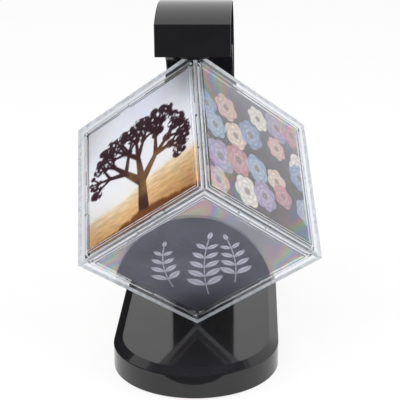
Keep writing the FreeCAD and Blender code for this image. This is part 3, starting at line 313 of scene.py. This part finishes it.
def lone_tree(u, v):
    """A dark spreading tree in a golden field under a pale lilac sky."""
    haze = cloud(u, v * 2.2, 0.9, 4)
    sky = ramp(v, [(-0.5, "#fdf4ea"), (-0.1, "#fbf8fb"), (0.4, "#f5f4fa"), (1.0, "#e8e8f3")])
    sky = blend(sky, srgb("#ffffff"), 0.55 * smooth(0.45, 0.8, haze))
    hill = -0.42 + 0.16 * u + 0.03 * np.sin(5.0 * u)
    field = ramp(hill - v, [(0.0, "#f6dcb8"), (0.25, "#e6ba84"), (0.7, "#c98f5a")])
    field = field * (0.86 + 0.3 * cloud(u, v * 5.0, 0.12, 9))[..., None]
    picture = blend(sky, field, smooth(-0.05, 0.05, hill - v))
    rows = limbs(5, 12)
    leaves = np.zeros(u.shape)
    chance = np.random.default_rng(5)
    for x, y in rows[rows[:, 4] < TWIG_WIDTH, 2:4]:
        radius = chance.uniform(0.05, 0.11)
        leaves = np.maximum(leaves, smooth(radius, radius * 0.7, np.hypot(u - x, (v - y) * 1.3)))
    leaves = leaves * smooth(0.30, 0.40, cloud(u, v, 0.05, 2))
    glow = cloud(u, v, 0.3, 7) * smooth(0.9, 0.1, np.hypot(u - 0.1, v + 0.25))
    dark = ramp(glow, [(0.1, "#301a20"), (0.4, "#52302a"), (0.7, "#8a6434")])
    picture = blend(picture, dark, 0.95 * np.maximum(leaves, cover_of_limbs(u, v, rows)))
    bank = -0.93 + 0.05 * np.sin(3.0 * u + 1.0) + 0.1 * cloud(u, v * 0, 0.08, 3)
    return blend(picture, srgb("#7a4a2c"), smooth(-0.03, 0.03, bank - v))


def blossom(picture, u, v, place, radius, petals, turn, code):
    """One flower: three rings of petals whose rim swells by |cos(petals x angle / 2)|, each paler
    and shaded towards its middle, round a brown heart."""
    x, y = u - place[0], v - place[1]
    away, angle = np.hypot(x, y), np.arctan2(y, x) + turn
    for ring, share in enumerate((1.0, 0.72, 0.44)):
        wave = angle * petals + ring * math.pi
        rim = radius * share * (0.86 + 0.14 * np.abs(np.cos(wave / 2)))
        inside = smooth(rim * 1.04, rim * 0.96, away)
        light = 0.4 + 0.56 * smooth(0, rim, away) + 0.06 * np.cos(wave)
        tone = blend(srgb(code), srgb("#fbf4ee"), np.full(u.shape, 0.16 * ring))
        picture = blend(picture, tone * light[..., None], inside * 0.92)
    heart = smooth(radius * 0.16, radius * 0.05, away)
    return blend(picture, srgb("#a98064"), heart * 0.8)


def blossoms(u, v):
    """A bunch of pastel garden flowers in soft light."""
    picture = ramp(v + 0.3 * u, [(-1.0, "#1e1216"), (-0.1, "#2a1c22"), (0.5, "#453f48"),
                                 (1.1, "#6c6d76")])
    picture = picture * (0.85 + 0.3 * cloud(u, v, 0.3, 21))[..., None]
    chance = np.random.default_rng(8)
    codes = ("#7f92b8", "#d9aea4", "#ece3d8", "#a092b4", "#bd7c84", "#93a8c4", "#e4cab6")
    rows = [(x, y) for y in (0.62, 0.22, -0.2, -0.62) for x in (-0.8, -0.36, 0.08, 0.5, 0.9)]
    for number, (x, y) in enumerate(rows):
        place = (x + chance.normal(0, 0.07), y + 0.14 * x + chance.normal(0, 0.07))
        picture = blossom(picture, u, v, place, chance.uniform(0.18, 0.27), 5 + number % 3,
                          chance.uniform(0, 6), codes[number % len(codes)])
    return picture


def leaf(u, v, place, angle, length, width):
    """A pointed leaf: inside where across / half-width is under sin(pi x along)."""
    x, y = u - place[0], v - place[1]
    along = (x * math.cos(angle) + y * math.sin(angle)) / length
    across = np.abs(y * math.cos(angle) - x * math.sin(angle))
    room = width * np.sin(math.pi * np.clip(along, 0, 1)) - across
    vein = smooth(0.003, 0.009, across)
    return smooth(-0.004, 0.006, room) * (0.45 + 0.55 * vein)


def sprig(u, v, root, angle, bend, length, pairs, leaf_length):
    """A stem on a circle's arc with leaves in pairs that shorten towards its tip."""
    share = np.linspace(0, 1, 2 * pairs + 1)
    heading = angle + bend * share
    step = length / (2 * pairs)
    places = np.array(root) + np.concatenate(
        [[[0, 0]], np.cumsum(np.stack([np.cos(heading), np.sin(heading)], axis=1)[:-1] * step,
                             axis=0)])
    rows = np.column_stack([places[:-1], places[1:], np.full(2 * pairs, 0.008)])
    shape = cover_of_limbs(u, v, rows)
    for number in range(2, 2 * pairs, 2):
        reach = leaf_length * (1.1 - 0.6 * share[number])
        for side in (-1, 1):
            shape = np.maximum(shape, leaf(u, v, places[number], heading[number] + 0.85 * side,
                                           reach, reach * 0.2))
    return np.maximum(shape, leaf(u, v, places[-1], heading[-1], leaf_length * 0.55,
                                  leaf_length * 0.1))


def sprigs(u, v, ground, ink, layout):
    """Sprigs on a ground, from rows of root, angle, bend, length, leaf pairs and leaf length."""
    picture = ground
    for root, angle, bend, length, pairs, leaf_length in layout:
        picture = blend(picture, ink, 0.92 * sprig(u, v, root, angle, bend, length, pairs,
                                                   leaf_length))
    return picture


def chalk_sprigs(u, v):
    """Pale leaf sprigs on a charcoal ground, growing towards one corner of the sheet."""
    ground = ramp(cloud(u, v, 0.5, 14), [(0.2, "#6c6c76"), (0.8, "#7e7d88")])
    layout = (((-0.55, -0.75), 0.98, -0.35, 1.35, 6, 0.34),
              ((-0.75, -0.25), 1.15, -0.5, 1.0, 5, 0.28),
              ((-0.1, -0.8), 0.75, 0.4, 1.05, 5, 0.3))
    return sprigs(u, v, ground, srgb("#ece8f6"), layout)


def green_leaves(u, v):
    """Green leaf sprigs on cream paper."""
    ground = ramp(cloud(u, v, 0.7, 15), [(0.2, "#e9ead9"), (0.8, "#f4f1e4")])
    layout = tuple(((x, -0.95), math.pi / 2 + lean, -lean * 1.4, 1.7, 8, 0.36)
                   for x, lean in ((-0.6, 0.16), (0.0, -0.1), (0.62, -0.2)))
    return sprigs(u, v, ground, srgb("#4f7a4c"), layout)


def ridges(u, v, sky, layers, seed):
    """Hills one behind the other: each rim is a sum of sines, and its colour fades downwards."""
    picture = sky
    for number, (height, swing, high_code, low_code) in enumerate(layers):
        rim = height + swing * (np.sin(2.3 * u + 1.7 * number) + 0.4 * np.sin(5.9 * u + number)
                                + 0.6 * cloud(u, v * 0, 0.2, seed + number))
        tone = ramp(rim - v, [(0.0, high_code), (0.7, low_code)])
        picture = blend(picture, tone, smooth(-0.01, 0.01, rim - v))
    return picture


def blue_hills(u, v):
    """Hazy blue hills at dawn."""
    sky = ramp(v, [(-0.2, "#f6dcc8"), (0.3, "#dfe3ee"), (1.0, "#9fb8dc")])
    layers = ((0.16, 0.10, "#a9bad6", "#d3dbe8"), (-0.08, 0.09, "#7f98bf", "#b3c2d8"),
              (-0.36, 0.08, "#53719c", "#86a0c1"), (-0.66, 0.07, "#2f4a6e", "#4d6a8f"))
    return ridges(u, v, sky, layers, 40)


def warm_dunes(u, v):
    """Sand dunes in evening light."""
    sky = ramp(v, [(0.0, "#f4c9a0"), (0.5, "#e9b7b0"), (1.0, "#b9a2c4")])
    layers = ((0.2, 0.07, "#dba878", "#c58a5c"), (-0.1, 0.1, "#c98f5d", "#a56b44"),
              (-0.45, 0.12, "#a9683f", "#7d4930"), (-0.8, 0.08, "#74432c", "#54301f"))
    return ridges(u, v, sky, layers, 60)


PICTURES = {
    "front_left": lone_tree,
    "front_right": blossoms,
    "lower_front": chalk_sprigs,
    "back": blue_hills,
    "lower_right": green_leaves,
    "lower_left": warm_dunes,
}


# ---- materials ----------------------------------------------------------------------------------

def add(tree, kind, inputs=None, stops=(), **settings):
    """Adds a node. Settings go on the node, inputs take values or other nodes' outputs, and stops
    are a colour ramp's places and hex colours."""
    made = tree.nodes.new(kind)
    for name, setting in settings.items():
        setattr(made, name, setting)
    for name, given in (inputs or {}).items():
        if isinstance(given, bpy.types.NodeSocket):
            tree.links.new(given, made.inputs[name])
        else:
            made.inputs[name].default_value = given
    if stops:
        elements = made.color_ramp.elements
        elements[0].position, elements[0].color = stops[0][0], paint(stops[0][1])
        elements[1].position, elements[1].color = stops[-1][0], paint(stops[-1][1])
        for place, code in stops[1:-1]:
            elements.new(place).color = paint(code)
    return made


def new_material(name):
    material = bpy.data.materials.new(name)
    material.use_nodes = True
    material.node_tree.nodes.clear()
    return material, material.node_tree


def finish_material(tree, shader):
    add(tree, "ShaderNodeOutputMaterial", {"Surface": shader.outputs[0]})


def object_place(tree):
    return add(tree, "ShaderNodeTexCoord").outputs["Object"]


def noise(tree, place, size, **shape):
    """Noise from 0 to 1 whose lumps have that size."""
    inputs = {"Vector": place, "Scale": 1 / size, **shape}
    return add(tree, "ShaderNodeTexNoise", inputs).outputs["Fac"]


def tones(tree, amount, *stops):
    """Colours along an amount, from places and hex colours."""
    return add(tree, "ShaderNodeValToRGB", {"Fac": amount}, stops=stops).outputs[0]


def spread(tree, amount, low, high, start=0.0, end=1.0, **settings):
    """Turns amounts from start to end into values from low to high."""
    inputs = {"Value": amount, "From Min": start, "From Max": end, "To Min": low, "To Max": high}
    return add(tree, "ShaderNodeMapRange", inputs, **settings).outputs[0]


def bumps(tree, height, strength, depth):
    """Small relief of that depth, as a surface direction."""
    inputs = {"Height": height, "Strength": strength, "Distance": depth}
    return add(tree, "ShaderNodeBump", inputs).outputs[0]


def calculate(tree, operation, *amounts):
    """The result of one sum on these amounts."""
    return add(tree, "ShaderNodeMath", dict(enumerate(amounts)), operation=operation).outputs[0]


def mixed(tree, share, first, second):
    """Two shaders mixed by the second one's share."""
    return add(tree, "ShaderNodeMixShader", {0: share, 1: first.outputs[0], 2: second.outputs[0]})


def polished_abs():
    """Black ABS from a polished mould: a deep gloss whose reflections waver a little, with
    hairline rub marks."""
    material, tree = new_material("polished black ABS")
    place = object_place(tree)
    sweep = noise(tree, place, 24 * MM, Detail=2.0)
    stretched = add(tree, "ShaderNodeMapping", {"Vector": place, "Scale": (1.0, 14.0, 1.0),
                                                "Rotation": (0.3, 0.5, 0.4)})
    rubs = noise(tree, stretched.outputs[0], 9 * MM, Detail=5.0, Roughness=0.7)
    shader = add(tree, "ShaderNodeBsdfPrincipled",
                 {"Base Color": tones(tree, sweep, (0.3, "#1d1c1e"), (0.7, "#232224")),
                  "Roughness": spread(tree, rubs, 0.045, 0.13, 0.35, 0.75),
                  "IOR": OPAQUE_INDEX,
                  "Normal": bumps(tree, sweep, 0.12, 0.25 * MM)})
    finish_material(tree, shader)
    return material


def grained_plastic(name, light, dark, grain, depth, rough):
    """Moulded plastic: the mould's fine grain as bumps of that size, and a slight change of tone
    where the melt flowed."""
    material, tree = new_material(name)
    place = object_place(tree)
    flow = noise(tree, place, 12 * MM, Detail=2.0)
    pits = noise(tree, place, grain, Detail=3.0)
    shader = add(tree, "ShaderNodeBsdfPrincipled",
                 {"Base Color": tones(tree, flow, (0.35, dark), (0.65, light)),
                  "Roughness": spread(tree, pits, rough - 0.06, rough + 0.08, 0.3, 0.7),
                  "IOR": OPAQUE_INDEX,
                  "Normal": bumps(tree, pits, 0.5, depth)})
    finish_material(tree, shader)
    return material


def worked_metal(name, light, dark, streak, stretch, rough):
    """Ground, drawn or turned metal: streaks of that width, drawn out along the tool's path."""
    material, tree = new_material(name)
    path = add(tree, "ShaderNodeMapping", {"Vector": object_place(tree), "Scale": stretch})
    streaks = noise(tree, path.outputs[0], streak, Detail=4.0, Roughness=0.65)
    shader = add(tree, "ShaderNodeBsdfPrincipled",
                 {"Base Color": tones(tree, streaks, (0.3, dark), (0.7, light)),
                  "Metallic": 1.0,
                  "Roughness": spread(tree, streaks, rough - 0.1, rough + 0.15),
                  "Normal": bumps(tree, streaks, 0.3, 0.02 * MM)})
    finish_material(tree, shader)
    return material


def cell_sleeve():
    """The printed sleeve of a dry cell: a satin dark blue body with a copper band at one end."""
    material, tree = new_material("printed cell sleeve")
    place = object_place(tree)
    height = add(tree, "ShaderNodeSeparateXYZ", {"Vector": place}).outputs["Z"]
    cell_low, cell_high = (corner[2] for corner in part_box("battery_1"))
    along = spread(tree, height, 0.0, 1.0, cell_low, cell_high)
    colour = tones(tree, along, (0.0, "#c9ccd0"), (0.03, "#c9ccd0"), (0.04, "#27344a"),
                   (0.7, "#27344a"), (0.71, "#b07a48"), (0.95, "#b07a48"), (0.96, "#c9ccd0"))
    shader = add(tree, "ShaderNodeBsdfPrincipled",
                 {"Base Color": colour, "Metallic": 0.35,
                  "Roughness": spread(tree, noise(tree, place, 1.5 * MM), 0.28, 0.4)})
    finish_material(tree, shader)
    return material


def lets_lamps_through(tree, shader, tint):
    """Mixes a shader with plain see-through for shadow and diffuse rays, so that the lamps' light
    reaches the prints behind it."""
    passing = add(tree, "ShaderNodeBsdfTransparent", {"Color": paint(tint)})
    rays = add(tree, "ShaderNodeLightPath")
    lamp_side = calculate(tree, "MAXIMUM", rays.outputs["Is Shadow Ray"],
                          rays.outputs["Is Diffuse Ray"])
    return mixed(tree, lamp_side, shader, passing)


def clear_styrene():
    """Clear polystyrene, injection moulded and polished: it bends and mirrors light as glass does.
    Stress that froze into the corners of the plate gives its gloss rainbow tints there. They run
    through once for each whole number in (flow x bend + |x| x |y|) x repeats."""
    material, tree = new_material("clear polished polystyrene")
    flow = noise(tree, object_place(tree), 30 * MM, Detail=1.0)
    plate = add(tree, "ShaderNodeUVMap", uv_map="plate")
    parts = add(tree, "ShaderNodeSeparateXYZ", {"Vector": plate.outputs[0]})
    sides = [calculate(tree, "ABSOLUTE", parts.outputs[way]) for way in ("X", "Y")]
    corner = calculate(tree, "MULTIPLY", *sides)
    edge = calculate(tree, "MAXIMUM", *sides)
    stress = calculate(tree, "MULTIPLY_ADD", flow, TINT_BEND, corner)
    fringe = calculate(tree, "FRACT", calculate(tree, "MULTIPLY", stress, TINT_REPEATS))
    tints = tones(tree, fringe, (0.0, "#ff9ec4"), (0.2, "#ffd98f"), (0.4, "#b9f0a0"),
                  (0.6, "#8fe0f0"), (0.8, "#a99cff"), (1.0, "#ff9ec4"))
    at_corners = spread(tree, corner, 0.0, TINT_SHARE, *TINT_REACH,
                        interpolation_type="SMOOTHSTEP")
    off_rims = spread(tree, edge, 1.0, 0.0, *TINT_FADE, interpolation_type="SMOOTHSTEP")
    share = calculate(tree, "MULTIPLY", at_corners, off_rims)
    solid = add(tree, "ShaderNodeBsdfPrincipled",
                {"Base Color": paint("#fbfcfe"), "Roughness": 0.0, "IOR": STYRENE_INDEX,
                 "Transmission Weight": 1.0, "Normal": bumps(tree, flow, 0.15, 0.3 * MM)})
    iridescence = add(tree, "ShaderNodeBsdfGlossy", {"Color": tints, "Roughness": 0.0})
    shader = mixed(tree, share, solid, iridescence)
    finish_material(tree, lets_lamps_through(tree, shader, "#fcfdfe"))
    return material


def frosted_styrene():
    """The mitred sides of the covers, left matt by the mould: they catch the light and show as
    white bands through the clear faces."""
    material, tree = new_material("matt mould face of polystyrene")
    frost = noise(tree, object_place(tree), 3 * MM, Detail=4.0, Roughness=0.7)
    shader = add(tree, "ShaderNodeBsdfPrincipled",
                 {"Base Color": tones(tree, frost, (0.3, "#b9bdc2"), (0.6, "#e6e9ed")),
                  "Roughness": 0.55, "IOR": STYRENE_INDEX, "Transmission Weight": 0.2})
    finish_material(tree, lets_lamps_through(tree, shader, "#fafbfc"))
    return material


def photo_paper(name):
    """Glossy photographic paper: the picture's dyes, finely grained, under a smooth resin coat."""
    material, tree = new_material(name + " print on glossy photo paper")
    picture = add(tree, "ShaderNodeAttribute", attribute_name="picture")
    grain = noise(tree, object_place(tree), 0.5 * MM, Detail=2.0)
    dyes = add(tree, "ShaderNodeVectorMath", {0: picture.outputs["Color"],
                                              1: spread(tree, grain, 0.94, 1.05)},
               operation="MULTIPLY")
    shader = add(tree, "ShaderNodeBsdfPrincipled",
                 {"Base Color": dyes.outputs[0], "Roughness": spread(tree, grain, 0.16, 0.26),
                  "IOR": RESIN_COAT_INDEX})
    finish_material(tree, shader)
    return material


def slot_materials():
    """One material for each material slot of the record."""
    along_z, all_round = (1.0, 1.0, 0.04), (1.0, 1.0, 1.0)
    return {
        "stand_black": polished_abs(),
        "plate_black": grained_plastic("grained black ABS", "#1c1c1e", "#151517", 0.35 * MM,
                                       0.05 * MM, 0.5),
        "pad_foam": grained_plastic("closed-cell foam rubber", "#26262a", "#1b1b1e", 0.6 * MM,
                                    0.15 * MM, 0.85),
        "screw_steel": worked_metal("zinc-plated steel", "#c9ccd2", "#a4a8b0", 0.5 * MM,
                                    all_round, 0.35),
        "shaft_steel": worked_metal("ground steel", "#c4c5c8", "#9d9fa3", 0.12 * MM, along_z, 0.25),
        "motor_steel": worked_metal("drawn and plated steel", "#cfd0cf", "#aeb0b0", 0.3 * MM,
                                    along_z, 0.3),
        "bearing_brass": worked_metal("turned brass", "#d8b066", "#b58a45", 0.15 * MM,
                                      (1.0, 1.0, 8.0), 0.25),
        "magnet": grained_plastic("sintered ferrite", "#2f2f33", "#232326", 0.2 * MM, 0.03 * MM,
                                  0.6),
        "gearbox_plastic": grained_plastic("natural acetal, moulded", "#ecebe4", "#dfded6",
                                           0.8 * MM, 0.02 * MM, 0.4),
        "gear_plastic": grained_plastic("white acetal, moulded", "#f2f1ec", "#e6e5df", 0.5 * MM,
                                        0.01 * MM, 0.35),
        "contact_steel": worked_metal("nickel-plated spring steel", "#d6d2c8", "#b4b0a6",
                                      0.2 * MM, all_round, 0.25),
        "battery_jacket": cell_sleeve(),
        "lead_red": grained_plastic("red PVC insulation", "#b3221d", "#9c1b17", 0.4 * MM,
                                    0.01 * MM, 0.45),
        "lead_black": grained_plastic("black PVC insulation", "#202022", "#171719", 0.4 * MM,
                                      0.01 * MM, 0.45),
        "bearing_black": grained_plastic("black acetal, moulded", "#202022", "#19191b", 0.5 * MM,
                                         0.01 * MM, 0.3),
        "core_plastic": grained_plastic("white polystyrene, moulded", "#eeeef2", "#e4e4ea",
                                        0.5 * MM, 0.02 * MM, 0.45),
    }


def dress_cad_nodes():
    """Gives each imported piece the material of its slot."""
    materials = slot_materials()
    for subpart in frame["record"]["subparts"]:
        material = materials.get(subpart["material_slot"])
        if material:
            mesh = frame["nodes"][subpart["node"]].data
            mesh.materials.clear()
            mesh.materials.append(material)


def make_faces():
    """The print and the clear cover of each face of the cube."""
    middle = cube_middle()
    finishes = (clear_styrene(), frosted_styrene())
    for name, (normal, up) in FACES.items():
        axes = face_axes(normal, up)
        sheet = print_sheet("picture_" + name, axes, middle, PICTURES[name], photo_paper(name))
        cover = rounded_cover(name, axes, middle, finishes)
        for piece, node, slot in ((sheet, "print_" + name, "photo_" + name),
                                  (cover, "cover_" + name, "clear_window")):
            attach(piece, "cube")
            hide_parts(node)


# ---- studio -------------------------------------------------------------------------------------

FLOOR_FRONT, FLOOR_BACK, FLOOR_SIDE = -0.33, 2.2, 1.6
CARD_ON_TABLE = 1.0 * MM

# How much of the table top is plain white to look at, and how bright the surround is as light and
# in gloss and glass.
PLAIN_WHITE_SHARE = 0.85
SURROUND_LIGHT, SURROUND_MIRRORED = 0.6, 0.87

# The lamps: place, edge length and watts.
SOFTBOXES = {
    "key": ((-0.7, -0.5, 1.1), 1.2, 11.0),
    "fill": ((0.9, -0.3, 0.8), 1.0, 6.5),
}

# Black cards round the set, each with two opposite corners, its edges along the axes. Only gloss
# sees them, and clear plastic all but the two on the table: they keep the black fronts, the bevels
# and the left side of the cube dark. The two on the table lie where the camera sees white table
# top, so they are painted dark reflections; the front one gives the plinth a dark crescent below
# its rim.
BLACK_CARDS = {
    "front": ((-1.3, -1.0, -0.7), (1.3, -1.0, 1.25)),
    "above": ((-1.3, -1.0, 1.25), (1.3, 0.40, 1.25)),
    "left": ((-1.1, -1.0, 0.03), (-1.1, 1.6, 1.25)),
    "back_left": ((-1.1, 1.6, 0.02), (-0.46, 1.6, 1.25)),
    "back_low": ((-0.46, 1.6, 0.02), (-0.3, 1.6, 0.42)),
    # The two table cards: painted dark reflections, where the camera sees white table top.
    "table_back_painted_reflection": ((-0.5, 0.32, CARD_ON_TABLE), (0.5, 1.5, CARD_ON_TABLE)),
    "table_front": ((-0.5, FLOOR_FRONT, CARD_ON_TABLE), (0.5, -0.073, CARD_ON_TABLE)),
}


def make_floor():
    """A white table top. It ends a little way in front of the base. What looks at it sees part
    of it as plain white, and the rest as lit, with the shadow of the base on it."""
    material, tree = new_material("white table top")
    fibres = noise(tree, object_place(tree), 40 * MM)
    colour = tones(tree, fibres, (0.3, "#fcfcfc"), (0.7, "#ffffff"))
    lit = add(tree, "ShaderNodeBsdfDiffuse", {"Color": colour})
    white = add(tree, "ShaderNodeEmission", {"Color": paint("#ffffff"), "Strength": 1.0})
    share = spread(tree, seen_ray(tree), 0.0, PLAIN_WHITE_SHARE)
    finish_material(tree, mixed(tree, share, lit, white))
    corners = np.array([(-FLOOR_SIDE, FLOOR_FRONT, 0), (FLOOR_SIDE, FLOOR_FRONT, 0),
                        (FLOOR_SIDE, FLOOR_BACK, 0), (-FLOOR_SIDE, FLOOR_BACK, 0)])
    mesh_object("table_top", corners, [(0, 1, 2, 3)], material)


def seen_ray(tree):
    """1 for rays of sight, gloss and glass, 0 for light."""
    rays = add(tree, "ShaderNodeLightPath")
    seen = rays.outputs["Is Camera Ray"]
    for name in ("Is Glossy Ray", "Is Transmission Ray"):
        seen = calculate(tree, "MAXIMUM", seen, rays.outputs[name])
    return seen


def make_black_cards():
    """The black cards, which the camera and the lamps' light pass by."""
    material, tree = new_material("black card")
    shader = add(tree, "ShaderNodeBsdfDiffuse", {"Color": paint("#1a1a1c")})
    finish_material(tree, shader)
    for name, ends in BLACK_CARDS.items():
        low, high = (np.array(end) for end in ends)
        flat = int(np.argmin(np.abs(high - low)))
        first = min(axis for axis in range(3) if axis != flat)
        corners = np.array([low, low, high, high])
        corners[1, first] = high[first]
        corners[3, first] = low[first]
        card = mesh_object("black_card_" + name, corners, [(0, 1, 2, 3)], material)
        card.visible_camera = card.visible_diffuse = card.visible_shadow = False
        # The table cards, painted dark reflections, stay out of the clear plastic and show in gloss
        # alone.
        card.visible_transmission = not name.startswith("table")


def make_world():
    """A surround that is white to look at, nearly so in gloss and glass, and softer as light."""
    world = bpy.data.worlds.new("studio")
    bpy.context.scene.world = world
    world.use_nodes = True
    tree = world.node_tree
    tree.nodes.clear()
    mirrored = spread(tree, seen_ray(tree), SURROUND_LIGHT, SURROUND_MIRRORED)
    straight = add(tree, "ShaderNodeLightPath").outputs["Is Camera Ray"]
    strength = calculate(tree, "MAXIMUM", mirrored, straight)
    glow = add(tree, "ShaderNodeBackground", {"Color": paint("#ffffff"), "Strength": strength})
    add(tree, "ShaderNodeOutputWorld", {"Surface": glow.outputs[0]})


def softbox(name, place, size, power):
    """A square lamp that faces the cube. Gloss doesn't mirror it, so the prints stay clear to see
    from every side."""
    lamp = bpy.data.lights.new(name, "AREA")
    lamp.size = size
    lamp.energy = power
    holder = in_scene(name, lamp)
    holder.location = place
    holder.visible_glossy = holder.visible_transmission = False
    towards = CAMERA_TARGET - Vector(place)
    holder.rotation_euler = towards.to_track_quat("-Z", "Y").to_euler()


def make_camera():
    """The photograph's viewpoint, turned a little about its own line of sight."""
    level = math.cos(CAMERA_ELEVATION)
    forward = Vector((-math.sin(CAMERA_AZIMUTH) * level, math.cos(CAMERA_AZIMUTH) * level,
                      -math.sin(CAMERA_ELEVATION)))
    camera = bpy.data.cameras.new("view")
    camera.lens = FOCAL_LENGTH
    camera.sensor_width = SENSOR_WIDTH
    camera.clip_start, camera.clip_end = CAMERA_CLIP
    holder = in_scene("view", camera)
    upright = forward.to_track_quat("-Z", "Y")
    holder.rotation_mode = "QUATERNION"
    holder.rotation_quaternion = upright @ Matrix.Rotation(CAMERA_ROLL, 3, "Z").to_quaternion()
    holder.location = CAMERA_TARGET - forward * CAMERA_DISTANCE
    bpy.context.scene.camera = holder


dress_cad_nodes()
make_faces()
make_floor()
make_black_cards()
make_world()
for lamp_name, (lamp_place, lamp_size, lamp_power) in SOFTBOXES.items():
    softbox(lamp_name, lamp_place, lamp_size, lamp_power)
make_camera()
bpy.context.scene.view_settings.view_transform = "Standard"
